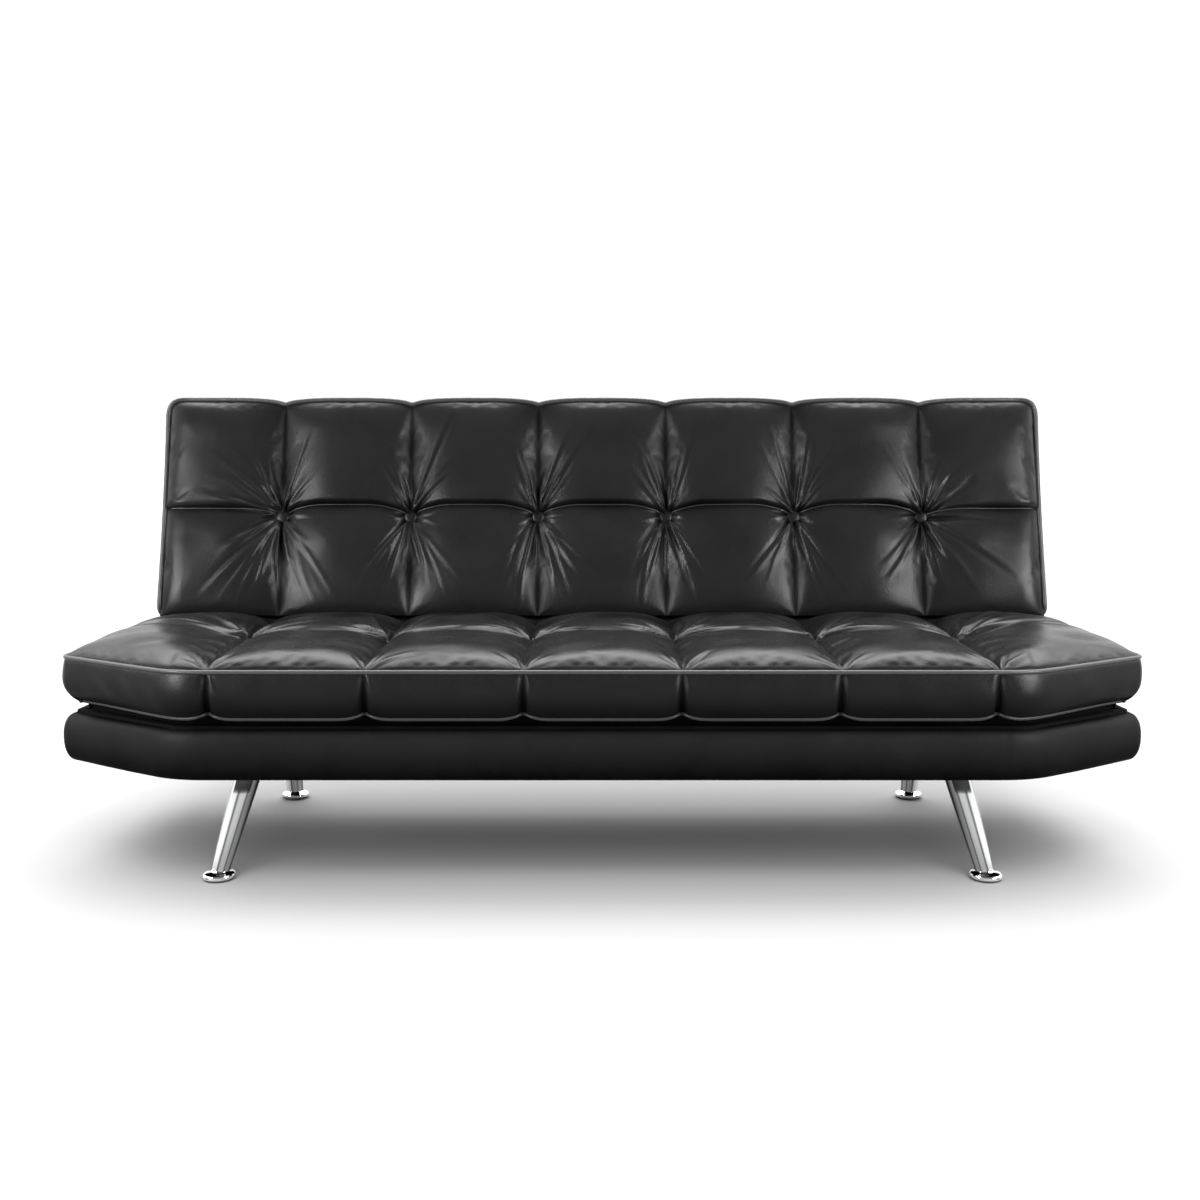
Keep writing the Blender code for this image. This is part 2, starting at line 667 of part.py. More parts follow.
def make_pawl_spring(side, word, sofa):
    """A bent leaf behind the base, its free end up beside the pawl's tail."""
    tail = Vector(pawl_at()) - pawl_direction() * PAWL_TAIL
    root = Vector((BASE_REAR + 2 * BRACKET_THICKNESS, bracket_foot() + SPRING_LIFT))
    tip = tail - Vector((SPRING_CLEARANCE / 3, SPRING_CLEARANCE))
    bend = Vector((tip.x, root.y))
    out, up = Vector((SPRING_THICKNESS, 0)), Vector((0, SPRING_THICKNESS))
    leaf = [root, bend + out, tip + out, tip, bend + up, root + up]
    ends = plate_ends(side, *ratchet_plane())
    finish(f"{word}_pawl_spring", prism_x(leaf, *ends), "zinc_steel", sofa)


def make_hinge(side, word, sofa, hinge):
    """One click-clack hinge. From the middle outwards: bracket, ratchet with pawl, arm."""
    make_bracket(side, word, sofa)
    inner = bracket_plane()[0]
    make_pin(f"{word}_hinge_pin", side, hinge_at(), PIN_RADIUS, PIN_HEAD_RADIUS, inner, arm_plane()[1], sofa)
    outer = ratchet_plane()[1]
    make_pin(f"{word}_pawl_pin", side, pawl_at(), PAWL_PIN_RADIUS, PAWL_PIN_HEAD, inner, outer, sofa)
    make_arm(side, word, hinge)
    make_ratchet(side, word, hinge)
    make_pawl(side, word, sofa)
    make_pawl_spring(side, word, sofa)


def main():
    clear_scene()
    sofa = empty("sofa", location=(0, FRONT_Y, 0))
    hinge = empty("backrest_hinge", sofa, (0, HINGE_DEPTH, HINGE_HEIGHT), BACK_LEAN)
    make_base(sofa)
    make_legs(sofa)
    make_seat(sofa)
    make_back_pad(hinge)
    make_buttons(hinge)
    make_back_frame(hinge)
    make_back_piping(hinge)
    for side, word in ((-1, "left"), (1, "right")):
        make_hinge(side, word, sofa, hinge)
    bpy.context.view_layer.update()


main()
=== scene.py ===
# %% [markdown]
# # A click-clack sofa bed in black leather
# The sofa's working parts come ready made: the rails, hinges, plates and glides are a fixed frame.
# This lesson makes what the eye sees first, which is tufted leather, piping and chrome. Each new piece is
# a surface worked out with numpy, and the two big cushions then go through Blender's Cloth, so that the
# leather swells between its seams as a stuffed cover does.

# %% The frame
import json
from math import atan2, cos, pi, radians, sin, tan

import bmesh
import bpy
import numpy as np
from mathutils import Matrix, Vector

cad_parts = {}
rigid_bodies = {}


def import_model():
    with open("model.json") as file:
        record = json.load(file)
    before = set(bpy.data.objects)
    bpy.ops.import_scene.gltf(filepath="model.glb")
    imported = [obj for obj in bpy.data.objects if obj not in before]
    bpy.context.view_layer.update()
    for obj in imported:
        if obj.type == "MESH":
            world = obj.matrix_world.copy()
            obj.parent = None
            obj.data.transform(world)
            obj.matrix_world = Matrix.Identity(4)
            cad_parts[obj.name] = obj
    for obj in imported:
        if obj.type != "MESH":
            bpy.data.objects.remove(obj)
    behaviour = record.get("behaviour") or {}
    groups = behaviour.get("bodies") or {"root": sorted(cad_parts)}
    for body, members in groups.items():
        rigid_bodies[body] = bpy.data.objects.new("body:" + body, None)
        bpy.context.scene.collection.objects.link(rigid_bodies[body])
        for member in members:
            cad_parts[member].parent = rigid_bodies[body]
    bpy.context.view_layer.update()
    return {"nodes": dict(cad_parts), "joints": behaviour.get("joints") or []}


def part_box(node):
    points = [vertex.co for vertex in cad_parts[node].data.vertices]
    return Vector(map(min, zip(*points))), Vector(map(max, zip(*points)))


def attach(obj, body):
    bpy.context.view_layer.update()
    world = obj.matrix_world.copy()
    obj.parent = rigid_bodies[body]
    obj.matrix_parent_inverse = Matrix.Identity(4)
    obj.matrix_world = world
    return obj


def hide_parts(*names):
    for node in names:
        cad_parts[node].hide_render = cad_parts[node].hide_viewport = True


for spare in list(bpy.data.objects):
    bpy.data.objects.remove(spare)
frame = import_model()
hinge = frame["joints"][0]["pos_m"]
seat_low, seat_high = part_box("seat_pad")
front_y = seat_low.y

# %% [markdown]
# ## Two helpers for surfaces
# A surface is a grid of points: rows and columns, three numbers each. Several grids make one closed
# piece where their edge points coincide, so the piece is built loose and its doubles are merged.
# A number goes with each point that says how worn the leather is there and how much painted shade,
# highlight or reflection it gets. The material reads it later.

# %% Grids to meshes
def quads(rows, cols, start):
    """The corners of every square of a grid whose points are numbered row by row from start."""
    first = (start + np.arange(rows - 1)[:, None] * cols + np.arange(cols - 1)).ravel()
    return np.stack([first, first + 1, first + 1 + cols, first + cols], axis=1)


def placed(name, data):
    """A new object in the scene."""
    thing = bpy.data.objects.new(name, data)
    bpy.context.scene.collection.objects.link(thing)
    return thing


def skin(name, patches, finish, smooth=True):
    """One closed mesh from pairs of a grid of points and its value of wear and painted light.

    Points that coincide are merged, a flat ring left open gets one flat face, and all faces are turned out.
    """
    corners, painted_light_and_wear_rows, faces, start = [], [], [], 0
    for points, painted_light_and_wear in patches:
        rows, cols = points.shape[:2]
        corners.append(points.reshape(-1, 3))
        painted_light_and_wear_rows.append(np.broadcast_to(painted_light_and_wear, (rows, cols)).ravel())
        faces.append(quads(rows, cols, start))
        start += rows * cols
    mesh = bpy.data.meshes.new(name)
    mesh.from_pydata(np.concatenate(corners), [], np.concatenate(faces))
    worn = mesh.attributes.new("painted_light_and_wear", "FLOAT", "POINT").data
    worn.foreach_set("value", np.concatenate(painted_light_and_wear_rows).astype(np.float32))
    work = bmesh.new()
    work.from_mesh(mesh)
    bmesh.ops.remove_doubles(work, verts=work.verts, dist=1e-6)
    bmesh.ops.dissolve_degenerate(work, edges=work.edges, dist=1e-7)
    bmesh.ops.holes_fill(work, edges=[edge for edge in work.edges if edge.is_boundary])
    bmesh.ops.recalc_face_normals(work, faces=work.faces)
    open_edges = sum(not edge.is_manifold for edge in work.edges)
    work.to_mesh(mesh)
    work.free()
    mesh.polygons.foreach_set("use_smooth", np.full(len(mesh.polygons), smooth))
    mesh.materials.append(finish)
    piece = placed(name, mesh)
    print(name, len(mesh.polygons), "faces,", open_edges, "open edges")
    return piece


def spaced(edges, count, ease=0.55):
    """Grid lines with count steps between each two edges, and closer together near every edge."""
    t = np.linspace(0, 1, count, endpoint=False)
    t = (1 - ease) * t + ease * (1 - np.cos(pi * t)) / 2
    lines = [a + (b - a) * t for a, b in zip(edges, edges[1:])]
    return np.append(np.concatenate(lines), edges[-1])


def rise(distance, reach, power=2.0):
    """0 at an edge, 1 from reach onwards, steepest at the edge, as the side of a stuffed pad."""
    share = np.clip(distance / reach, 0, 1)
    return (1 - (1 - share) ** power) ** (1 / power)


def border(grid):
    """The points round a grid's edge as one closed ring, from its first corner along its first row."""
    return np.concatenate([grid[0, :-1], grid[:-1, -1], grid[-1, :0:-1], grid[::-1, 0]])


def outward(ring):
    """The sideways direction at each point of a closed flat ring of (a, b) points run anticlockwise."""
    loop = ring[:-1]
    along = np.roll(loop, -1, axis=0) - np.roll(loop, 1, axis=0)
    along /= np.linalg.norm(along, axis=1, keepdims=True)
    side = np.stack([along[:, 1], -along[:, 0]], axis=1)
    return np.concatenate([side, side[:1]])


# %% [markdown]
# ## Shader maths as Python
# A material's nodes are easier to read as a formula. This class holds one socket, and Python's operators
# add the Math nodes. Every other node comes from its add method: settings first, then inputs.

# %% The socket class
class Flow:
    """A socket of a material. Arithmetic on it adds Math nodes."""

    def __init__(self, tree, socket=None):
        self.tree, self.socket = tree, socket

    def add(self, kind, out=0, inputs=None, **settings):
        """Any node: its settings, and its inputs by name or number. Gives one output."""
        node = self.tree.nodes.new(kind)
        for name, value in settings.items():
            setattr(node, name, value)
        for name, value in (inputs or {}).items():
            if isinstance(value, Flow):
                self.tree.links.new(value.socket, node.inputs[name])
            else:
                node.inputs[name].default_value = value
        return Flow(self.tree, node.outputs[out])

    def math(self, operation, a, b=0.0):
        return self.add("ShaderNodeMath", inputs={0: a, 1: b}, operation=operation)

    def __add__(self, other):
        return self.math("ADD", self, other)

    def __radd__(self, other):
        return self.math("ADD", other, self)

    def __sub__(self, other):
        return self.math("SUBTRACT", self, other)

    def __rsub__(self, other):
        return self.math("SUBTRACT", other, self)

    def __mul__(self, other):
        return self.math("MULTIPLY", self, other)

    def mixed(self, low, high):
        """A colour between two, by this value."""
        inputs = {"Factor": self, "A": (*low, 1), "B": (*high, 1)}
        return self.add("ShaderNodeMix", out=2, inputs=inputs, data_type="RGBA")


def new_material(name, **constants):
    """A material, the Flow that starts its formula, the place on the object, and its shader."""
    made = bpy.data.materials.new(name)
    made.use_nodes = True
    shader = made.node_tree.nodes["Principled BSDF"]
    for socket, value in constants.items():
        shader.inputs[socket.replace("_", " ")].default_value = value
    flow = Flow(made.node_tree)
    return made, flow, flow.add("ShaderNodeTexCoord", out=3), shader


def feed(made, shader, **sockets):
    """Links a value to each named input of the shader, and gives the material back."""
    for socket, value in sockets.items():
        made.node_tree.links.new(value.socket, shader.inputs[socket.replace("_", " ")])
    return made


def noise(flow, where, scale, detail=2.0, rough=0.5):
    inputs = {"Vector": where, "Scale": scale, "Detail": detail, "Roughness": rough}
    return flow.add("ShaderNodeTexNoise", inputs=inputs)


def bumped(flow, height, distance):
    inputs = {"Height": height, "Distance": distance, "Strength": 1.0}
    return flow.add("ShaderNodeBump", inputs=inputs)


# %% [markdown]
# ## Black leather
# Upholstery leather is dyed nearly black and finished with a thin soft coat. Up close it has pebbles about
# a millimetre across, cut by finer pores, and it is smoother where it is stretched or rubbed. Voronoi cells
# give the pebbles and noise the pores. The value at each point is partly wear and partly painted light: it
# polishes crowns and edges and dulls the creases, and in the colour it paints highlights on crowns and
# crease ridges and paints shade along seams, in creases and down the lower sides.

# %% Leather
GRAIN_DEEP = 0.00022
DULL_ROUGH, DULL_SHINE = 0.6, 0.2


def leather(name, dark, light, rough, specular=0.4, grain=620):
    """Two finishes with one colour and one grain: the value of wear and painted light mixes from the dull
    to the glossy one and paints shade and highlight into the colour.
    """
    made, flow, where, shader = new_material(name, Specular_IOR_Level=specular)
    painted_light_and_wear = flow.add("ShaderNodeAttribute", out=2, attribute_name="painted_light_and_wear")
    cell = flow.add("ShaderNodeTexVoronoi", inputs={"Vector": where, "Scale": grain}, feature="F1")
    pores = noise(flow, where, grain * 2.2, 2.0)
    broad = noise(flow, where, 9.0, 3.0)
    patchy = noise(flow, where, 38.0, 4.0, 0.6)
    # Painted shade and highlight: the point value lightens the colour where it is high and darkens it where
    # it is low.
    shade = broad * 0.25 + patchy * 0.15 + painted_light_and_wear * 0.75 - 0.15
    gloss = rough + patchy * 0.09 - painted_light_and_wear * 0.18 + cell * 0.05 + 0.055
    height = pores * 0.25 - cell * 0.8 + patchy * 1.1
    colour, relief = shade.mixed(dark, light), bumped(flow, height, GRAIN_DEEP)
    feed(made, shader, Base_Color=colour, Roughness=gloss, Normal=relief)
    shine = {"Roughness": DULL_ROUGH, "Specular IOR Level": specular * DULL_SHINE}
    dull = flow.add("ShaderNodeBsdfPrincipled", inputs={"Base Color": colour, "Normal": relief, **shine})
    share = flow.math("MINIMUM", painted_light_and_wear * 1.1 + 0.1, 1.0)
    glossy = Flow(made.node_tree, shader.outputs[0])
    mixed = flow.add("ShaderNodeMixShader", inputs={0: share, 1: dull, 2: glossy})
    made.node_tree.links.new(mixed.socket, made.node_tree.nodes["Material Output"].inputs["Surface"])
    return made


# Three copies of one leather: the band's darker low end carries its painted shade, and the piping's lighter
# colour is a painted highlight along every piping.
cover_leather = leather("cover_leather", (0.0012, 0.0012, 0.0013), (0.0095, 0.0095, 0.0100), 0.28, 0.17)
band_leather = leather("band_leather", (0.0006, 0.0006, 0.0007), (0.0125, 0.0125, 0.0130), 0.44, 0.06)
piping_leather = leather("piping_leather", (0.012, 0.012, 0.0122), (0.034, 0.034, 0.0345), 0.32, 0.42, 900)
print("leather", cover_leather.name, band_leather.name, piping_leather.name)

# %% [markdown]
# ## Chrome, steel, wood and cloth
# Chrome is a clean mirror with faint smears from polishing, and its colour also carries painted
# reflections:
# light and dark streaks along each leg and a black patch at its top. Zinc-plated steel is duller, brushed
# along its length, and black paint has a fine orange-peel. The rails are planed softwood with growth rings.
# The underside is black spun cloth, and the same black cloth on the deck's edge stands in for the shadow in
# the gap.

# %% Metals
def chrome():
    made, flow, where, shader = new_material("chrome_plate", Metallic=1.0)
    smear = noise(flow, where, 40.0, 4.0)
    painted_reflection = flow.add("ShaderNodeAttribute", out=2, attribute_name="painted_light_and_wear")
    # Painted reflection: the point value holds light and dark streaks and a black top patch, the room and
    # the dark base seen in the chrome.
    shade = painted_reflection + smear * 0.06
    colour = shade.mixed((0.012, 0.012, 0.013), (0.90, 0.905, 0.91))
    return feed(made, shader, Base_Color=colour, Roughness=0.03 + smear * 0.05)


def zinc():
    made, flow, where, shader = new_material("zinc_plate", Metallic=1.0)
    long_way = flow.add("ShaderNodeMapping", inputs={"Vector": where, "Scale": (900, 900, 40)})
    brushed = noise(flow, long_way, 1.0, 3.0)
    spangle = noise(flow, where, 90.0, 3.0)
    colour = spangle.mixed((0.38, 0.39, 0.41), (0.62, 0.63, 0.64))
    relief = bumped(flow, brushed, 0.00005)
    return feed(made, shader, Base_Color=colour, Roughness=0.24 + brushed * 0.2, Normal=relief)


def black_paint():
    made, flow, where, shader = new_material("black_paint")
    peel = noise(flow, where, 420.0, 2.0)
    dust = noise(flow, where, 25.0, 4.0)
    colour = dust.mixed((0.010, 0.010, 0.011), (0.026, 0.026, 0.028))
    relief = bumped(flow, peel, 0.00008)
    return feed(made, shader, Base_Color=colour, Roughness=0.34 + dust * 0.2, Normal=relief)


chrome_plate, zinc_plate, black_painted = chrome(), zinc(), black_paint()


# %% Wood, cloth and plastic
def wood(name, pale, dark, scale):
    made, flow, where, shader = new_material(name)
    stretched = flow.add("ShaderNodeMapping", inputs={"Vector": where, "Scale": scale})
    growth = {"Vector": stretched, "Scale": 9.0, "Distortion": 7.0, "Detail": 3.0}
    rings = flow.add("ShaderNodeTexWave", inputs=growth)
    fibre = noise(flow, stretched, 60.0, 3.0)
    tone = rings * 0.6 + fibre * 0.4
    feed(made, shader, Base_Color=tone.mixed(pale, dark), Roughness=0.6 + fibre * 0.2)
    return feed(made, shader, Normal=bumped(flow, fibre, 0.0003))


def spun_cloth():
    made, flow, where, shader = new_material("spun_cloth", Specular_IOR_Level=0.05)
    fibre = noise(flow, where, 800.0, 3.0, 0.7)
    dots = flow.add("ShaderNodeTexVoronoi", inputs={"Vector": where, "Scale": 500.0}, feature="F1")
    colour = fibre.mixed((0.0015, 0.0015, 0.0016), (0.005, 0.005, 0.0052))
    relief = bumped(flow, fibre - dots, 0.0004)
    return feed(made, shader, Base_Color=colour, Roughness=0.85 + dots * 0.1, Normal=relief)


def plastic():
    made, flow, where, shader = new_material("glide_plastic")
    scuff = noise(flow, where, 130.0, 5.0, 0.65)
    colour = scuff.mixed((0.012, 0.012, 0.012), (0.035, 0.035, 0.035))
    relief = bumped(flow, scuff, 0.0001)
    return feed(made, shader, Base_Color=colour, Roughness=0.45 + scuff * 0.3, Normal=relief)


pine = wood("pine", (0.60, 0.42, 0.24), (0.40, 0.25, 0.12), (1.0, 8.0, 8.0))
lining_and_gap_shadow, hard_plastic = spun_cloth(), plastic()
print("materials", len(bpy.data.materials))

# %% [markdown]
# ## Letting the leather settle
# A sewn cover is held along its seams and at its buttons, and the stuffing pushes out everything between.
# Blender's Cloth does the same with pinned points and pressure. The leather is cut a little larger than
# its place, so near each seam the spare length gathers. The simulation runs on every second grid line,
# and the movement that it finds is carried to the fine grid by a four-point rule.

# %% Cloth on a grid
SIM_FRAMES = 20


def doubled(grid):
    """Puts a point between each two, both ways: 9/16 of its two neighbours less 1/16 of the next two."""
    for _ in range(2):
        wide = np.concatenate([2 * grid[:1] - grid[1:2], grid, 2 * grid[-1:] - grid[-2:-1]])
        between = (9 * (wide[1:-2] + wide[2:-1]) - wide[:-3] - wide[3:]) / 16
        full = np.empty((2 * len(grid) - 1, *grid.shape[1:]))
        full[::2], full[1::2] = grid, between
        grid = full.swapaxes(0, 1)
    return grid


def settled(name, grid, pin, pressure, spare, most):
    """The grid after Cloth has pushed it out. It is sewn where pin is 1, and no point moves past most."""
    coarse, hold = grid[::2, ::2], pin[::2, ::2].ravel()
    rows, cols = coarse.shape[:2]
    mesh = bpy.data.meshes.new(name)
    mesh.from_pydata(coarse.reshape(-1, 3), [], quads(rows, cols, 0))
    piece = placed(name, mesh)
    group = piece.vertex_groups.new(name="sewn")
    for level in np.unique(np.round(hold, 1)):
        if level > 0:
            group.add(np.flatnonzero(np.round(hold, 1) == level).tolist(), float(level), "REPLACE")
    cloth = piece.modifiers.new("cloth", "CLOTH")
    how = cloth.settings
    how.quality, how.mass, how.air_damping = 6, 0.25, 2.0
    how.tension_stiffness = how.compression_stiffness = 40
    how.shear_stiffness, how.bending_stiffness = 15, 1.5
    how.tension_damping = how.compression_damping = 12
    how.vertex_group_mass = "sewn"
    how.use_pressure, how.uniform_pressure_force = True, pressure
    how.use_pressure_volume, how.target_volume = True, 0.0
    how.shrink_min = -spare
    how.effector_weights.gravity = 0
    cloth.collision_settings.use_collision = False
    cloth.point_cache.frame_end = SIM_FRAMES
    for step in range(1, SIM_FRAMES + 1):
        bpy.context.scene.frame_set(step)
    result = piece.evaluated_get(bpy.context.evaluated_depsgraph_get()).data
    after = np.empty(rows * cols * 3)
    result.vertices.foreach_get("co", after)
    bpy.context.scene.frame_set(1)
    bpy.data.objects.remove(piece)
    move = after.reshape(rows, cols, 3) - coarse
    size = np.linalg.norm(move, axis=-1, keepdims=True)
    move *= most * np.tanh(size / most) / np.maximum(size, 1e-9)
    average, largest = (round(float(value) * 1000, 1) for value in (size.mean(), size.max()))
    print(name, "moved", average, "mm on average,", largest, "mm at most")
    return grid + doubled(move)


# %% [markdown]
# ## Wrinkles
# Leather can't stretch much, so where a button pulls it in, it folds into sharp creases that run out like
# rays. Each ray here is a low ridge with a valley beside it. It starts at the button, grows in width,
# bends a little and dies away. They are added to the shape itself, not painted on.

# %% Rays of creases
def ray(across, along, angle, length, width, height, bend):
    """One crease from the origin. across and along are flat distances, and angle turns from the along axis.

    The sideways distance from the ray's own line gives a bell-shaped ridge and a narrower valley beside
    it, times a strength that rises over the first tenth of the length and fades at its end.
    """
    far = np.hypot(across, along) + 1e-9
    turn = np.arctan2(across, along) - angle - bend * far / length
    turn = (turn + pi) % (2 * pi) - pi
    aside = far * np.sin(turn)
    broad = width * (0.55 + 0.9 * far / length)
    share = np.clip(far / length, 0, 1)
    strength = np.clip(share / 0.12, 0, 1) * (1 - share) ** 1.2 * (np.abs(turn) < 1.2)
    ridge = np.exp(-((aside / broad) ** 2))
    valley = 0.8 * np.exp(-(((aside - 1.5 * broad) / (0.8 * broad)) ** 2))
    return height * strength * (ridge - valley)


def fan(across, along, chance, middle, spread, count, length, width, height):
    """count rays spread evenly either side of a middle angle, each a little different from the next."""
    total = np.zeros_like(across)
    for i in range(count):
        angle = middle + spread * ((i + 0.5) / count * 2 - 1) + chance.normal(0, spread / count * 0.5)
        size = length * chance.uniform(0.55, 1.15)
        tall = height * chance.uniform(0.55, 1.2)
        wide = width * chance.uniform(0.7, 1.25)
        total += ray(across, along, angle, size, wide, tall, chance.normal(0, 0.14))
    return total


def drift(a, b, chance, wave, height, count=9):
    """Slow unevenness: a sum of sine waves of about one wavelength that run in every direction."""
    total = np.zeros_like(a)
    for _ in range(count):
        turn, phase = chance.uniform(0, 2 * pi, 2)
        length = wave * chance.uniform(0.7, 1.5)
        total += np.sin(2 * pi / length * (a * cos(turn) + b * sin(turn)) + phase)
    return total * height / count**0.5


# %% [markdown]
# ## The seat cushion
# The seat is one long pad with seven channels and cut front corners. A cross seam runs from tuft to tuft
# halfway back. Its top is a height over its plan: zero at the piping, rising fast, then nearly level,
# and pulled down along each seam. The side wall goes round its border, fuller between the seams.

# %% Seat sizes
CORNER_IN, CORNER_BACK = 0.2165, 0.147
SEAMS = (-0.6235, -0.3757, -0.1252, 0.1252, 0.3757, 0.6235)
TUFT_LINE = 0.299
KNEE = 0.014
CREVICE_START = 0.538
PAD_TALL, VALLEY_TALL, SHELF_TALL, TUFT_DEEP = 0.0235, 0.0055, 0.0054, 0.009
seat_half = seat_high.x
rear_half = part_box("rear_rail")[1].x + 0.0183 - 0.0005
seat_depth = seat_high.y - seat_low.y
corner_from = seat_half - CORNER_IN
seat_chance = np.random.default_rng(5)
upper_low, upper_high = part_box("seat_piping_upper")
lower_low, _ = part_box("seat_piping_lower")
cord = (upper_high.z - upper_low.z) / 2
upper_z, lower_z = upper_high.z - cord, lower_low.z + cord
print("seat half widths", round(seat_half, 4), round(rear_half, 4), "piping at", upper_z, lower_z)


def front_of(x):
    """How far back the cushion's edge is at x: a ramp with a soft knee where the corner's cut starts."""
    past = (np.abs(x) - corner_from) / KNEE
    return CORNER_BACK / CORNER_IN * KNEE * np.logaddexp(0, past)


def half_at(depth):
    """Half the cushion's width at that depth."""
    share = np.clip((depth - CORNER_BACK) / (seat_depth - CORNER_BACK), 0, 1)
    return seat_half + share * (rear_half - seat_half)


def nearest(x, lines):
    """The distance to the nearest of the lines, and which one it is."""
    gaps = np.abs(np.asarray(x)[..., None] - np.array(lines))
    return gaps.min(-1), gaps.argmin(-1)


# %% The seat's top
def seat_plan():
    """Columns follow the channels and fan into the cut corners. Rows run from the front to the rear."""
    columns = spaced((-seat_half, *SEAMS, seat_half), 64)
    rows = spaced((0, TUFT_LINE / seat_depth, 1), 60)
    start, share = np.meshgrid(columns, rows)
    front = front_of(start)
    depth = front + share * (seat_depth - front)
    outer = np.maximum(np.abs(start) - SEAMS[-1], 0) / (seat_half - SEAMS[-1])
    x = np.sign(start) * (np.minimum(np.abs(start), SEAMS[-1]) + outer * (half_at(depth) - SEAMS[-1]))
    return x, depth


def seat_height(x, depth):
    """How far the top stands over the piping."""
    seam, _ = nearest(x, SEAMS)
    ramp = cos(atan2(CORNER_BACK, CORNER_IN))
    front = (depth - front_of(x)) * np.where(np.abs(x) > corner_from, ramp, 1)
    side = half_at(depth) - np.abs(x)
    edge = rise(front, 0.115, 2.1) * rise(side, 0.15, 1.9)
    rear = rise(CREVICE_START - depth, 0.075, 1.8)
    shelf = SHELF_TALL * rise(depth - TUFT_LINE, 0.12) * rise(side, 0.03)
    middle = np.clip(1 - np.maximum(np.abs(x) - SEAMS[-1], 0) / 0.12, 0, 1)
    cross = 1 - 0.46 * middle * np.exp(-np.abs(depth - TUFT_LINE) / 0.026)
    valley = VALLEY_TALL * rise(front, 0.06) * rise(side, 0.05) * rear
    tuft = np.exp(-np.hypot(seam, depth - TUFT_LINE) / 0.030)
    pad = PAD_TALL * rise(seam, 0.088, 1.75) * cross
    return np.maximum(valley + pad * edge * rear, shelf) - TUFT_DEEP * tuft * edge


# Fans of rays: spread, how many, length, width, height
SEAT_REARWARD, SEAT_FORWARD = (0.62, 7, 0.150, 0.0046, 0.0068), (0.35, 3, 0.09, 0.0046, 0.0040)
SEAT_SIDEWAYS, SEAT_GATHERS = (0.2, 2, 0.08, 0.0042, 0.0036), (1.0, 8, 0.090, 0.0042, 0.0052)
SEAT_CORNER = (0.42, 5, 0.25, 0.0075, 0.0066)


def seat_creases(x, depth, chance):
    """Rays at the tufts, most of them to the rear, and short gathers behind the front piping."""
    total = drift(x, depth, chance, 0.11, 0.0009)
    for seam in SEAMS:
        dx, dy = x - seam, depth - TUFT_LINE
        for way in (-1, 1):
            total += fan(dx, dy, chance, way * 0.80, *SEAT_REARWARD)
            total += fan(dx, dy, chance, pi - way * 0.55, *SEAT_FORWARD)
            total += fan(dx, dy, chance, way * 1.5, *SEAT_SIDEWAYS)
        foot = depth - front_of(seam) + 0.004
        total += fan(dx, foot, chance, 0.0, *SEAT_GATHERS)
    for side in (-1, 1):
        dx, dy = x - side * SEAMS[-1], depth - TUFT_LINE
        total += fan(dx, dy, chance, side * 0.85, *SEAT_CORNER)
    edge = np.minimum(depth - front_of(x), half_at(depth) - np.abs(x))
    return total * rise(edge, 0.022, 1.2) * rise(seat_depth - 0.02 - depth, 0.06, 1.0)


def seat_top():
    x, depth = seat_plan()
    grid = np.stack([x, front_y + depth, upper_z + seat_height(x, depth)], axis=-1)
    seam, _ = nearest(x, SEAMS)
    pin = (seam < 1e-6).astype(float)
    pin[0] = pin[-1] = pin[:, 0] = pin[:, -1] = 1
    pin = np.maximum(pin, depth > CREVICE_START)
    pin = np.maximum(pin, 0.6 * (np.abs(depth - TUFT_LINE) < 1e-4) * (np.abs(x) < SEAMS[-1]))
    grid = settled("seat_cloth", grid, pin, pressure=3.0, spare=0.0045, most=0.010)
    creases = seat_creases(x, depth, seat_chance)
    grid[..., 2] += creases
    # Wear and painted light: lower values, so darker leather, along seams, the tuft line, the front edge
    # and towards the rear under the backrest as painted shade; crease ridges get a painted highlight and
    # their valleys painted shade.
    painted_light_and_wear = rise(seam, 0.05) * rise(np.abs(depth - TUFT_LINE), 0.03) * rise(depth - front_of(x), 0.03)
    painted_light_and_wear *= 1 - 0.8 * rise(depth - TUFT_LINE, 0.12, 1.2)
    return grid, np.clip(painted_light_and_wear + np.clip(creases / 0.0035, -0.35, 0.55), 0, 1)


seat_grid, seat_shade_and_wear = seat_top()
print("seat top grid", seat_grid.shape, "highest", round(float(seat_grid[..., 2].max()), 4))

# %% The seat's side wall and underside
SEAT_BOTTOM = seat_low.z + 0.0006
WALL_ROWS = 25
FRONT_BULGE, SIDE_BULGE = 0.0065, 0.0062
TUCK, END_TUCK = 0.004, 0.018
FOOT_LIFT = 0.0075
WALL_GATHERS = (0.8, 8, 0.046, 0.0026, 0.0024)


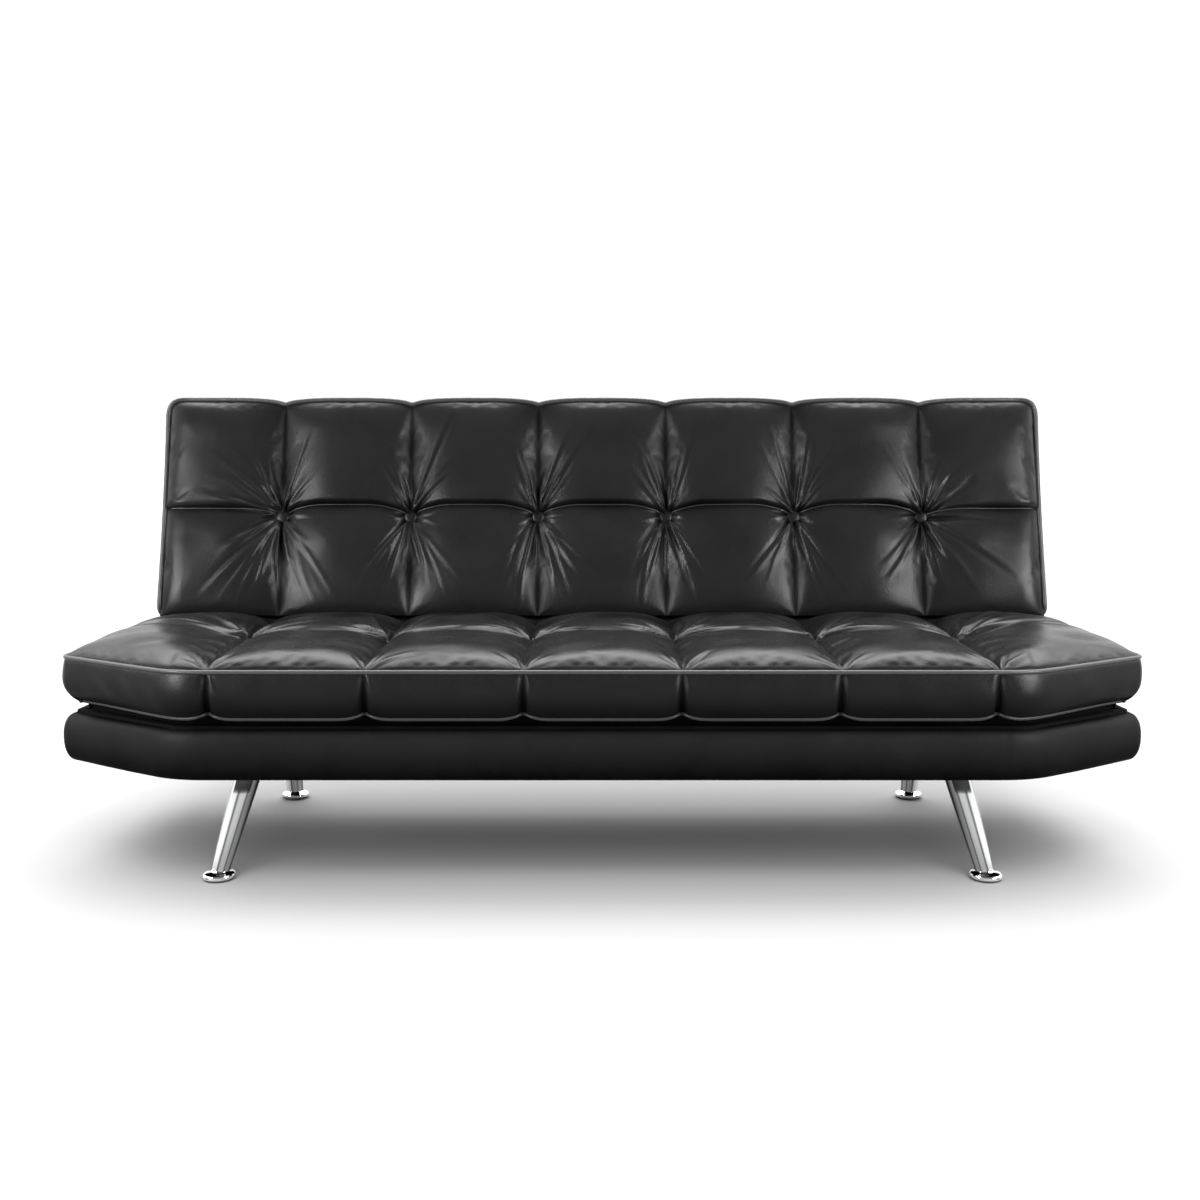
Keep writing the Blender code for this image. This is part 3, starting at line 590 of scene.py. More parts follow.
def seat_wall(ring, chance):
    """Rows of the side wall, from the upper piping down to the lower one.

    The offset outwards is a bulge, less a groove at each channel seam, less a tuck under at the foot
    that is deeper at the ends. Next to a seam the foot also lifts, which rounds each panel's corners.
    """
    side = outward(ring[:, :2])
    x, depth = ring[:, 0], ring[:, 1] - front_y
    facing = np.clip(-side[:, 1], -1, 1)
    ahead = np.clip(facing * 1.3, 0, 1)
    seam, which = nearest(x, SEAMS)
    signed = x - np.array(SEAMS)[which]
    end = np.clip((np.abs(x) - 0.64) / 0.2, 0, 1)
    corner = np.hypot(np.abs(x) - seat_half, depth - CORNER_BACK)
    beside = (1 - ahead) * (facing > -0.5)
    full = 0.0015 + FRONT_BULGE * ahead * (1 - 0.2 * end) + SIDE_BULGE * beside
    full *= 0.4 + 0.6 * rise(seam, 0.05)
    tuck = np.where(facing < -0.5, 0.002, TUCK + END_TUCK * end)
    foot = lower_z + FOOT_LIFT * ahead * np.exp(-((seam / 0.017) ** 2)) * (np.abs(x) < 0.66)
    fall = (np.linspace(0, 1, WALL_ROWS) ** 0.9)[:, None]
    down = fall * (upper_z - foot)
    creases = fan(signed + 0 * down, down + 0.004, chance, 0.0, *WALL_GATHERS) * ahead
    creases += drift(x + 0 * down, depth + down, chance, 0.07, 0.0007)
    bulge = full * np.sin(pi * np.clip(fall, 0, 1)) ** 0.6
    groove = ahead * (0.0035 + 0.0125 * fall**2) * np.exp(-((seam / 0.0055) ** 2))
    groove *= np.clip(fall * 8, 0, 1)
    groove += 0.0026 * np.exp(-((corner / 0.0035) ** 2))
    out = bulge - groove - tuck * fall ** (3.5 + 2 * end) + creases * np.sin(pi * fall)
    wall = np.empty((WALL_ROWS, len(ring), 3))
    wall[..., 0] = x + side[:, 0] * out
    wall[..., 1] = ring[:, 1] + side[:, 1] * out
    wall[..., 2] = upper_z - down
    wall[:, -1] = wall[:, 0]
    # Painted shade: the value returned with the wall darkens it towards its foot and in each seam groove.
    return wall, rise(seam, 0.015) * 0.85 * np.clip(1.0 - 1.15 * fall, 0, 1)


seat_ring = border(seat_grid)
seat_ring[:, 2] = upper_z
wall, wall_shade = seat_wall(seat_ring, seat_chance)
wall[0] = border(seat_grid)
under = wall[-1] * (0.985, 1, 1)
under[:, 1] = front_y + seat_depth / 2 + (wall[-1][:, 1] - front_y - seat_depth / 2) * 0.97
under[:, 2] = SEAT_BOTTOM
seat_patches = [(seat_grid, seat_shade_and_wear), (wall, wall_shade), (np.stack([wall[-1], under]), 0)]
seat = skin("seat_cushion", seat_patches, cover_leather)

# %% [markdown]
# ## Piping
# Piping is a strip of leather sewn round a cord. It follows the edge of the cushion, so its path is the
# cushion's own border, and a circle is carried along it. The circle swells and shrinks slightly along the
# way, since the leather over a cord is pulled tighter in some places than in others.

# %% A tube along a closed path
UPPER_WELT, LOWER_WELT, BACK_WELT, SEAM_WELT = 0.0036, 0.0030, 0.0048, 0.0014
WELT_STEP = 0.004


def tube(path, up, radius, sides=12, uneven=0.05):
    """Rings round a closed path: the centre plus radius times (cosine sideways + sine upwards)."""
    loop = path[:-1]
    along = np.roll(loop, -1, axis=0) - np.roll(loop, 1, axis=0)
    along /= np.linalg.norm(along, axis=1, keepdims=True)
    side = np.cross(along, up)
    side /= np.linalg.norm(side, axis=1, keepdims=True)
    over = np.cross(side, along)
    walked = np.concatenate([[0], np.cumsum(np.linalg.norm(np.diff(loop, axis=0), axis=1))])
    laps = 2 * pi / (walked[-1] + np.linalg.norm(loop[0] - loop[-1]))
    swell = sum(np.sin(laps * k * walked + k) for k in (61, 97, 151, 263)) * uneven / 4
    turn = np.linspace(0, 2 * pi, sides + 1)
    reach = radius * (1 + swell)[:, None, None]
    around = np.cos(turn)[:, None] * side[:, None] + np.sin(turn)[:, None] * over[:, None]
    rings = loop[:, None] + reach * around
    rings[:, -1] = rings[:, 0]
    return np.concatenate([rings, rings[:1]])


def evened(path, step):
    """The closed path again, with points at equal steps along it."""
    gaps = np.linalg.norm(np.diff(path, axis=0), axis=1)
    walked = np.concatenate([[0], np.cumsum(gaps)])
    places = np.linspace(0, walked[-1], int(walked[-1] / step) + 1)
    even = np.stack([np.interp(places, walked, path[:, k]) for k in range(3)], axis=1)
    even[-1] = even[0]
    return even


def softened(path, times):
    """Rounds a closed path's corners: each point moves to its neighbours' average, several times."""
    loop = path[:-1]
    for _ in range(times):
        loop = (np.roll(loop, 1, axis=0) + 2 * loop + np.roll(loop, -1, axis=0)) / 4
    return np.concatenate([loop, loop[:1]])


seat_side = outward(seat_ring[:, :2])
upper_path = wall[0].copy()
upper_path[:, :2] += seat_side * 0.0012
lower_path = wall[-1].copy()
lower_path[:, :2] += seat_side * 0.0005
straight_up = np.array([0.0, 0.0, 1.0])
upper_tube = tube(softened(evened(upper_path, WELT_STEP), 6), straight_up, UPPER_WELT)
lower_tube = tube(softened(evened(lower_path, WELT_STEP), 6), straight_up, LOWER_WELT)
upper_welt = skin("seat_welt_upper", [(upper_tube, 0.8)], piping_leather)
lower_welt = skin("seat_welt_lower", [(lower_tube, 0.35)], piping_leather)

# %% [markdown]
# ## The backrest cushion
# The backrest leans, so it is worked out upright round the hinge line and leaned at the end. It has seven
# channels in two rows and six buttons. The upper pads sag over the cross seam, and each button draws the
# leather in from every side. The cover's top edge rises over each pad and dips at each seam.

# %% Backrest sizes
LEAN = radians(16.8)
FACE, REAR = -0.0765, 0.0355
TOP = 0.503
UNDERSIDE = seat_high.z + 0.010 - hinge[2]
CORD_INSET, EDGE_INSET = 0.0015, 0.0031
RIM, POCKET = 0.030, 0.0099
BUTTONS = (-0.6252, -0.3751, -0.125, 0.125, 0.3751, 0.6252)
BUTTON_UP = 0.2685
ARCH, NOTCH, CORNER_RADIUS = 0.021, 0.0125, 0.026
FULL, SAG = 0.0215, 0.20
PIT, DIMPLE, STITCH = 0.012, 0.005, 0.0014
piping_low, piping_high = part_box("back_piping")
back_half = (piping_high.x - piping_low.x) / 2 - 0.0005 - EDGE_INSET
back_chance = np.random.default_rng(11)


def from_hinge(points):
    """Leans points of the upright backrest, (x, y, z) from the hinge line, into their place."""
    x, y, z = points[..., 0], points[..., 1], points[..., 2]
    leaned = [x, hinge[1] + y * cos(LEAN) + z * sin(LEAN), hinge[2] - y * sin(LEAN) + z * cos(LEAN)]
    return np.stack(leaned, axis=-1)


def underside(y):
    """The height of the cushion's underside at depth y: level once the backrest leans."""
    return (UNDERSIDE + y * sin(LEAN)) / cos(LEAN)


back_low = underside(FACE) + CORD_INSET
print("back half", round(back_half, 4), "underside", round(back_low, 4))


# %% The backrest's face
def cross_seam(x):
    """The height of the seam between the two rows: at the buttons, and arched between them."""
    gap, _ = nearest(x, BUTTONS)
    outer = np.abs(x) > BUTTONS[-1]
    return BUTTON_UP + ARCH * rise(gap, 0.075, 1.5) * np.where(outer, 0.62, 1)


def top_edge(x):
    gap, _ = nearest(x, BUTTONS)
    return TOP - EDGE_INSET - NOTCH * (1 - rise(gap, 0.105, 2.2)) + 0.001


def rounded_corner(across, up, radius):
    """Bends a square corner into a quarter circle: each distance shrinks by root(1 - other^2 / 2)."""
    a = np.clip(1 - across / radius, 0, 1)
    b = np.clip(1 - up / radius, 0, 1)
    return radius * a * (1 - np.sqrt(1 - b**2 / 2)), radius * b * (1 - np.sqrt(1 - a**2 / 2))


def back_plan():
    columns = spaced((-back_half, *BUTTONS, back_half), 68)
    shares = spaced((0, 1, 2), 60)
    x, share = np.meshgrid(columns, shares)
    seam = cross_seam(x)
    lower = back_low + (seam - back_low) * np.minimum(share, 1)
    up = np.where(share <= 1, lower, seam + (top_edge(x) - seam) * (share - 1))
    outer = np.maximum(np.abs(x) - BUTTONS[-1], 0) / (back_half - BUTTONS[-1])
    wide = 0.0025 * ((up - 0.28) / 0.2) ** 2
    less_x, less_up = rounded_corner(back_half - np.abs(x), top_edge(x) - up, CORNER_RADIUS)
    return x + np.sign(x) * (outer * wide - less_x), up - less_up, share


def quilt(gap):
    """A channel's profile from its seam: a tight V at the seam, then a slow swell to the middle."""
    tight = 0.27 * (1 - np.exp(-gap / 0.008))
    return tight + 0.73 * np.sin(pi / 2 * np.clip(gap / 0.115, 0, 1))


def back_depth(x, up, share):
    """How far the face stands out from the piping's plane."""
    gap, _ = nearest(x, BUTTONS)
    seam, side = cross_seam(x), back_half - np.abs(x)
    edge = rise(side, 0.045, 2.0)
    across = quilt(gap)
    level = 0.42 * (1 - np.exp(-gap / 0.03))
    above, below = up - seam, seam - up
    hang = 1 + SAG * (1 - np.clip(above / 0.16, 0, 1))
    upper = hang * (level + (1 - level) * rise(above, 0.013, 2.0)) * rise(top_edge(x) - up, 0.060, 1.7)
    lower = (level + (1 - level) * rise(below, 0.075, 1.35)) * rise(up - back_low, 0.060, 1.9)
    pads = FULL * np.where(share <= 1, lower, upper) * across * edge
    far = np.hypot(gap, up - BUTTON_UP)
    button = PIT * np.exp(-((far / 0.016) ** 2)) + DIMPLE * np.exp(-far / 0.030)
    return pads - button - STITCH * np.exp(-((gap / 0.0016) ** 2))


# Fans of rays: spread, how many, length, width, height
BACK_UP, BACK_DOWN = (0.72, 10, 0.110, 0.0038, 0.0066), (0.66, 9, 0.140, 0.0042, 0.0060)
HAIR_UP, HAIR_DOWN = (0.20, 2, 0.22, 0.0034, 0.0036), (0.24, 3, 0.21, 0.0032, 0.0034)
BACK_SIDEWAYS = (0.24, 3, 0.060, 0.0038, 0.0034)
END_ASIDE, END_DOWN = (0.45, 5, 0.17, 0.0060, 0.0052), (0.42, 4, 0.20, 0.0060, 0.0050)
END_UP = (0.25, 2, 0.17, 0.0055, 0.0042)


def back_creases(x, up, chance):
    """Rays round each button: short strong ones upwards, longer ones down, and gathers to both sides."""
    total = drift(x, up, chance, 0.12, 0.0008)
    for middle in BUTTONS:
        dx, dy = x - middle, up - BUTTON_UP
        total += fan(dx, dy, chance, 0.0, *BACK_UP)
        total += fan(dx, dy, chance, pi, *BACK_DOWN)
        for way in (-1, 1):
            total += fan(dx, dy, chance, way * 0.36, *HAIR_UP)
            total += fan(dx, dy, chance, pi - way * 0.46, *HAIR_DOWN)
            total += fan(dx, dy, chance, way * 1.74, *BACK_SIDEWAYS)
    for way in (-1, 1):
        dx, dy = x - way * BUTTONS[-1], up - BUTTON_UP
        total += fan(dx, dy, chance, way * 1.25, *END_ASIDE)
        total += fan(dx, dy, chance, way * 2.3, *END_DOWN)
        total += fan(dx, dy, chance, way * 0.62, *END_UP)
    return total


def back_face():
    x, up, share = back_plan()
    out = back_depth(x, up, share)
    grid = np.stack([x, FACE + CORD_INSET - out, up], axis=-1)
    gap, _ = nearest(x, BUTTONS)
    pin = (gap < 1e-3).astype(float)
    pin[0] = pin[-1] = pin[:, 0] = pin[:, -1] = 1
    pin = np.maximum(pin, 0.9 * (np.abs(share - 1) < 1e-6))
    pin = np.maximum(pin, np.hypot(gap, up - BUTTON_UP) < 0.013)
    grid = settled("back_cloth", grid, pin, pressure=2.2, spare=0.0015, most=0.006)
    inside = np.minimum(back_half - np.abs(x), np.minimum(up - back_low, top_edge(x) - up))
    edge = rise(inside, 0.02, 1.2)
    creases = back_creases(x, up, back_chance) * edge
    grid[..., 1] -= creases
    # Wear and painted light: darker along the seams as painted shade, lighter on crease ridges as painted
    # highlight and darker in their valleys as painted shade.
    painted_light_and_wear = rise(gap, 0.07) * rise(np.abs(up - cross_seam(x)), 0.03)
    return grid, np.clip(painted_light_and_wear + np.clip(creases / 0.004, -0.3, 0.4), 0, 1)


back_grid, back_shade_and_wear = back_face()
print("back face grid", back_grid.shape, "fullest", round(float(-back_grid[..., 1].min()), 4))


# %% The backrest's edge and rear
def back_wall(ring, chance):
    """Rows from the piping to the rear: a gentle bulge, fading scallops on top, the rear edge rounded."""
    side = outward(ring[:, ::2])
    x, up = ring[:, 0], ring[:, 2]
    gap, _ = nearest(x, BUTTONS)
    high = np.clip((up - back_low) / (TOP - back_low), 0, 1)
    lid = np.clip(side[:, 1], 0, 1)
    free = 1 - np.clip(-side[:, 1] * 1.5, 0, 1)
    rows = spaced((0, 1), 22, 0.75)[:, None]
    y = FACE + CORD_INSET + (REAR - FACE - CORD_INSET) * rows
    pull = (0.5 + 0.5 * rise(gap, 0.05)) * lid + 1 - lid
    bulge = 0.0065 * np.sin(pi * rows) ** 0.8 * free * pull
    rounding = 0.012 * (1 - rise(REAR - y, 0.014))
    notch = NOTCH * (1 - rise(gap, 0.105, 2.2)) * lid * rise(rows, 0.9, 1.3)
    sway = drift(x + 0 * y, y + up, chance, 0.09, 0.0006) * free * np.sin(pi * rows)
    out = bulge - rounding + sway
    shift = (y - FACE) * tan(LEAN) * (1 - high) ** 2
    wall = np.stack([x + side[:, 0] * out, y + 0 * x, up + side[:, 1] * out + shift + notch], axis=-1)
    wall[:, -1] = wall[:, 0]
    return wall


def inset_ring(ring, rim, y):
    """The ring moved in by rim on every side, at depth y."""
    low, high = ring[:, 2].min() + rim, TOP - rim
    reach = back_half - rim
    points = [np.clip(ring[:, 0], -reach, reach), np.full(len(ring), y), np.clip(ring[:, 2], low, high)]
    return np.stack(points, axis=-1)


back_ring = border(back_grid)
back_walls = back_wall(back_ring, back_chance)
back_walls[0] = back_ring
rim_ring = inset_ring(back_walls[-1], RIM, REAR)
floor_ring = inset_ring(back_walls[-1], RIM, POCKET)
rear_rings = np.stack([back_walls[-1], rim_ring, floor_ring])
back_patches = ((back_grid, back_shade_and_wear), (back_walls, 0.5), (rear_rings, 0))
back = skin("back_cushion", [(from_hinge(grid), painted_light_and_wear) for grid, painted_light_and_wear in back_patches], cover_leather)
face_out = np.array([0.0, -cos(LEAN), sin(LEAN)])
WELT_OUT = 0.0026
welt_path = back_ring.copy()
welt_side = outward(back_ring[:, ::2])
welt_path[:, ::2] += welt_side * WELT_OUT
tucked = 1 - rise(welt_path[:, 2] - back_low, 0.03, 1.5)
welt_path[:, 1] += 0.012 * tucked - 0.0008
welt_path[:, 2] += 0.0085 * tucked
welt_path = from_hinge(softened(evened(welt_path, WELT_STEP), 5))
back_welt = skin("back_welt", [(tube(welt_path, face_out, BACK_WELT), 0.8)], piping_leather)

# %% The cord in the seam between the rows
def seam_welt():
    """A thin tube along the seam's own grid line, closed by a second line hidden inside the cushion."""
    line = back_grid[len(back_grid) // 2, 6:-6]
    line = line + (0, -0.0007, 0)
    path = np.concatenate([line, line[::-1] + (0, 0.004, 0), line[:1]])
    return tube(from_hinge(evened(path, WELT_STEP)), face_out, SEAM_WELT, 8)


cross_welt = skin("cross_welt", [(seam_welt(), 0.9)], piping_leather)

# %% [markdown]
# ## Buttons
# Each button is a metal dome covered in the same leather, drawn tight by a cord through the cushion. It is
# a turned shape, a radius for each step from its rim over its dome, with tiny pleats where the leather is
# gathered under the rim.

# %% Six covered buttons
BUTTON_RADIUS, BUTTON_TALL, BUTTON_SEAT = 0.0128, 0.0042, 0.0098


def button_grid(x):
    """A dome of radius times sine and height times cosine of one angle, closed by a flat underside."""
    lift = np.linspace(0, pi / 2, 12)[:, None]
    turn = np.linspace(0, 2 * pi, 41)[None, :]
    pleat = 1 + 0.02 * np.cos(13 * turn) * np.cos(lift) ** 2
    round_out = BUTTON_RADIUS * np.cos(lift) ** 0.75 * pleat
    high = BUTTON_TALL * np.sin(lift) ** 0.9 + 0 * turn
    across, up = x + round_out * np.cos(turn), BUTTON_UP + round_out * np.sin(turn)
    dome = np.stack([across, FACE + BUTTON_SEAT - high, up], axis=-1)
    dome[:, -1] = dome[:, 0]
    rim = dome[0].copy()
    rim[:, 0] = x + (rim[:, 0] - x) * 0.8
    rim[:, 2] = BUTTON_UP + (rim[:, 2] - BUTTON_UP) * 0.8
    rim[:, 1] += 0.002
    return np.concatenate([rim[None], dome])


domes = [(from_hinge(button_grid(x)), 0.7) for x in BUTTONS]
buttons = [skin(f"tuft_button_{i + 1}", [dome], cover_leather) for i, dome in enumerate(domes)]

# %% [markdown]
# ## The rear cover
# Behind the backrest a sheet of leather is stretched over the frame and tacked round its edge. It is nearly
# flat, a little fuller in the middle, with a soft rolled edge and shallow pulls where the buttons' cords
# are tied behind it.

# %% The rear cover's sheet
panel_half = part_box("back_panel")[1].x
PANEL_TOP = TOP - 0.008
PANEL_FROM, PANEL_TO = REAR + 0.0004, REAR + 0.0063


def rear_cover():
    columns, shares = spaced((-panel_half, *BUTTONS, panel_half), 16), spaced((0, 1), 40)
    low = underside(REAR) + 0.008
    x, up = np.meshgrid(columns, low + (PANEL_TOP - low) * shares)
    edge = np.minimum(panel_half - np.abs(x), np.minimum(up - low, PANEL_TOP - up))
    gap, _ = nearest(x, BUTTONS)
    pull = 0.0016 * np.exp(-np.hypot(gap, up - BUTTON_UP) / 0.03)
    crown = 0.0045 * rise(edge, 0.012) + 0.003 * rise(edge, 0.16, 1.2) - pull
    crown += drift(x, up, np.random.default_rng(3), 0.16, 0.0004) * rise(edge, 0.03)
    outer = np.stack([x, PANEL_FROM + 0.0014 + crown, up], axis=-1)
    ring = border(outer)
    flat = ring.copy()
    flat[:, 1] = PANEL_FROM
    return [(from_hinge(outer), 0.4), (from_hinge(np.stack([ring, flat])), 0.6)]


rear_sheet = skin("rear_cover", rear_cover(), band_leather)

# %% [markdown]
# ## The base band
# Thin foam and leather wrap the base in one band. Its outline has two soft knees in front and small round
# corners, and its section is rounded above and below. Its colour is painted lighter along the top and
# darker towards the bottom and on the inner faces, as painted shade. Two strips of black cloth close the
# gap above it
# and stand in for the shadow there: one is bent over the rails, and one stands upright from them to the
# cushion.

# %% A padded band round the base
BAND_THICK, BAND_END = 0.018, 0.024
BAND_LOWER, BAND_TALLER, BAND_WIDER = 0.0055, 0.0018, 0.0085
END_FROM, END_OVER = 0.78, 0.12
BAND_SEAM_AT, BAND_SEAM_WIDE, BAND_SEAM_DEEP = 0.643, 0.0022, 0.0012
base_low, base_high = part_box("front_band")
side_low, side_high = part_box("right_side_band")
base_half, knee_y, base_knee = side_high.x, side_low.y, base_high.x
base_rear_half, base_rear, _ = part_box("rear_band")[1]


def rounded_path(corners, radii, step):
    """A closed path through corners, each cut by an arc of its radius, in equal steps."""
    points = []
    for i, here in enumerate(corners):
        before, after = corners[i - 1] - here, corners[(i + 1) % len(corners)] - here
        before, after = before / np.linalg.norm(before), after / np.linalg.norm(after)
        half = np.arccos(np.clip(before @ after, -1, 1)) / 2
        middle = (before + after) / np.linalg.norm(before + after)
        centre = here + middle * radii[i] / sin(half)
        first = here + before * radii[i] / tan(half) - centre
        last = here + after * radii[i] / tan(half) - centre
        share = np.linspace(0, 1, 12)[:, None]
        arc = first * (1 - share) + last * share
        points.append(centre + arc / np.linalg.norm(arc, axis=1, keepdims=True) * radii[i])
    path = np.concatenate(points)
    path = np.concatenate([path, path[:1]])
    return evened(np.concatenate([path, np.zeros((len(path), 1))], axis=1), step)


def base_outline(wider, knee, corner):
    """The base's outline with its ends moved out by wider, its knees and its corners rounded."""
    half, rear_half = base_half + wider, base_rear_half + wider
    front, rear = base_low.y, base_rear
    left = [(-half, knee_y), (-base_knee, front)]
    right = [(base_knee, front), (half, knee_y), (rear_half, rear)]
    corners = np.array([*left, *right, (-rear_half, rear)])
    return rounded_path(corners, (corner, knee, knee, corner, corner, corner), 0.006)


def base_band():
    """A section carried round the outline: flat-faced in front, rounder and thicker at the sofa's ends."""
    path = base_outline(BAND_WIDER, 0.16, 0.018)
    side = outward(path[:, :2])
    middle = (base_low.z + base_high.z) / 2 - BAND_LOWER
    half = (base_high.z - base_low.z) / 2 + BAND_TALLER
    turn = np.linspace(-pi / 2, pi / 2, 19)
    end = np.clip((np.abs(path[:, :1]) - END_FROM) / END_OVER, 0, 1)
    thick = BAND_THICK + (BAND_END - BAND_THICK) * end

    def between(shape, flat, full):
        return shape**flat * (1 - end) + shape**full * end

    bow_depth = thick * (1 - between(np.abs(np.cos(turn)), 0.62, 0.9))
    bow_height = half * np.sign(turn) * between(np.abs(np.sin(turn)), 0.66, 0.85)
    inner = np.linspace(1, -1, 5)[1:-1] + 0 * end
    deep = np.concatenate([bow_depth, thick + 0 * inner, bow_depth[:, :1]], axis=1)
    high = np.concatenate([bow_height, inner * half * 0.9, bow_height[:, :1]], axis=1)
    seam = BAND_SEAM_DEEP * np.exp(-((path[:, 0] - BAND_SEAM_AT) / BAND_SEAM_WIDE) ** 2)
    seam *= side[:, 1] < -0.5
    outer_face = 1 - deep / thick
    sway = drift(path[:, 0], path[:, 1], np.random.default_rng(8), 0.14, 0.0005)
    deep = deep + (seam[:, None] - sway[:, None]) * outer_face
    band = np.empty((*deep.shape, 3))
    band[..., :2] = path[:, None, :2] - side[:, None] * deep[..., None]
    band[..., 2] = middle + high
    # Painted shade: lighter towards the top, darker towards the bottom, and darkest on the faces turned
    # inwards.
    painted_light_and_wear = np.clip(0.5 + high / half * 0.55, 0, 1) ** 1.3 * outer_face
    return band, painted_light_and_wear


band = skin("base_band", [base_band()], band_leather)


# %% Black cloth that stands in for the shadow in the gap under the cushion
SKIRT_IN, CLOTH_THICK = 0.0355, 0.0012


def lining_strip(deep, high):
    """A closed section carried round the base: depths inside its outline, and heights."""
    path = base_outline(0, 0.02, 0.02)
    strip = np.empty((len(path), len(deep), 3))
    strip[..., :2] = path[:, None, :2] - outward(path[:, :2])[:, None] * np.array(deep)[:, None]
    strip[..., 2] = high
    return strip, 0


over_rails = lining_strip(
    (0.0160, 0.0160, 0.0343, 0.0343, 0.0172, 0.0172, 0.0160),
    base_high.z + np.array([-0.014, 0.0016, 0.0016, 0.0003, 0.0003, -0.014, -0.014]),
)
skirt_top, skirt_foot = SEAT_BOTTOM + 0.004, base_high.z + 0.0006
skirt = lining_strip(
    (SKIRT_IN, SKIRT_IN, SKIRT_IN + CLOTH_THICK, SKIRT_IN + CLOTH_THICK, SKIRT_IN),
    np.array([skirt_foot, skirt_top, skirt_top, skirt_foot, skirt_foot]),
)
# Both strips are black cloth standing in for the shadow in the gap.
gap_shadow_rail_cloth = skin("gap_shadow_rail_lining", [over_rails], lining_and_gap_shadow, smooth=False)
gap_shadow_skirt = skin("gap_shadow_skirt", [skirt], lining_and_gap_shadow, smooth=False)

# %% [markdown]
# ## Chrome legs
# Each leg is a steel tube, tapered down to a neck above a round foot, polished and chromed. Its shape is a
# radius for each height, carried along a leaning line. The foot and the top are cut level.

# %% Four leaning legs
FOOT_PROFILE = (
    (0.0, 0.0235), (0.05, 0.0262), (0.2, 0.0270), (0.45, 0.0268), (0.62, 0.0255), (0.72, 0.0225),
    (0.80, 0.0195), (0.92, 0.0172), (1.0, 0.0163),
)
FOOT_TALL = 0.0125
LEG_TOP, LEG_NECK = 0.0225, 0.0158


def painted_leg_reflections(turn, z, foot, top, side):
    """Painted reflections: light and dark along the tube, as a room of soft lights and dark walls shows in
    a polished one.

    A position across the tube runs from -1 at the outer edge to 1 at the inner edge. Each streak is a
    brightness between two such positions. The foot is painted bright, the tube is painted darker upwards,
    and the top fades to black, a painted reflection of the dark base above it.
    """
    across = -side * np.cos(turn)
    front = np.sin(turn) < 0
    marks = (-1.0, -0.86, -0.78, -0.30, -0.22, -0.12, -0.02, 0.32, 0.40, 0.50, 0.60, 0.86, 0.93, 1.0)
    tones = (0.35, 0.45, 1.0, 1.0, 0.15, 0.15, 0.60, 0.72, 0.75, 0.10, 0.50, 0.55, 0.06, 0.10)
    painted_reflection = np.where(front, np.interp(across, marks, tones), 0.7)
    share = np.clip((z - foot) / (top - foot), 0, 1)[:, None]
    dark_reflection_patch = rise(share - 0.80, 0.05) * (np.abs(across) < 0.62) * front
    return np.where(z[:, None] < foot, 0.92, painted_reflection * (1 - dark_reflection_patch) * (1 - 0.25 * share))


def leg_grid(name):
    """Radius against height: the foot's turned profile, then an even taper, all on the leg's own line."""
    glide_low, glide_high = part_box(name + "_glide")
    plate_low, plate_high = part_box(name + "_plate")
    low, high = glide_high.z + 0.0003, plate_low.z - 0.0003
    start = np.array([(glide_low.x + glide_high.x) / 2, (glide_low.y + glide_high.y) / 2])
    end = np.array([(plate_low.x + plate_high.x) / 2, (plate_low.y + plate_high.y) / 2])
    foot = np.array(FOOT_PROFILE)
    share = np.linspace(0, 1, 40)
    foot_radius = np.interp(share, foot[:, 0], foot[:, 1])
    shank = np.linspace(0, 1, 50)[1:]
    z = np.concatenate([low + FOOT_TALL * share, low + FOOT_TALL + (high - low - FOOT_TALL) * shank])
    radius = np.concatenate([foot_radius, LEG_NECK + (LEG_TOP - LEG_NECK) * shank**0.9])
    line = start + (end - start) * ((z - low) / (high - low))[:, None]
    turn = np.linspace(0, 2 * pi, 97)
    grid = np.empty((len(z), 97, 3))
    grid[..., 0] = line[:, :1] + radius[:, None] * np.cos(turn)
    grid[..., 1] = line[:, 1:] + radius[:, None] * np.sin(turn)
    grid[..., 2] = z[:, None]
    grid[:, -1] = grid[:, 0]
    return grid, painted_leg_reflections(turn, z, low + FOOT_TALL, high, np.sign(start[0]))


leg_names = [f"{end}_{side}_leg" for end in ("front", "rear") for side in ("left", "right")]
legs = {name: skin("chrome_" + name, [leg_grid(name)], chrome_plate) for name in leg_names}

# %% [markdown]
# ## Finishes for the working parts
# The frame's own pieces keep their shapes and get the better materials: pine rails, cloth under the base
# and round the deck, the deck's black cloth standing in for the shadow in the gap, black paint on brackets
# and plates, zinc on the hinges.

# %% Materials for the frame
for name, node in frame["nodes"].items():
    if name.endswith(("_rail", "_stile", "_board")):
        chosen = pine
    # Black cloth on the deck stands in for the shadow in the gap under the cushion; the dust cover is real
    # black cloth.
    elif name in ("seat_deck", "dust_cover"):
        chosen = lining_and_gap_shadow
    elif name.endswith("_glide"):
        chosen = hard_plastic
    elif name.endswith(("_plate", "_bracket")):
        chosen = black_painted
    else:
        chosen = zinc_plate
    node.data.materials.clear()
    node.data.materials.append(chosen)

# %% [markdown]
# ## What moves with what
# The seat, band and legs belong to the base. The cushion, its piping, its buttons and the rear cover turn
# with the backrest. Each new piece hides the plain solid that it stands for.

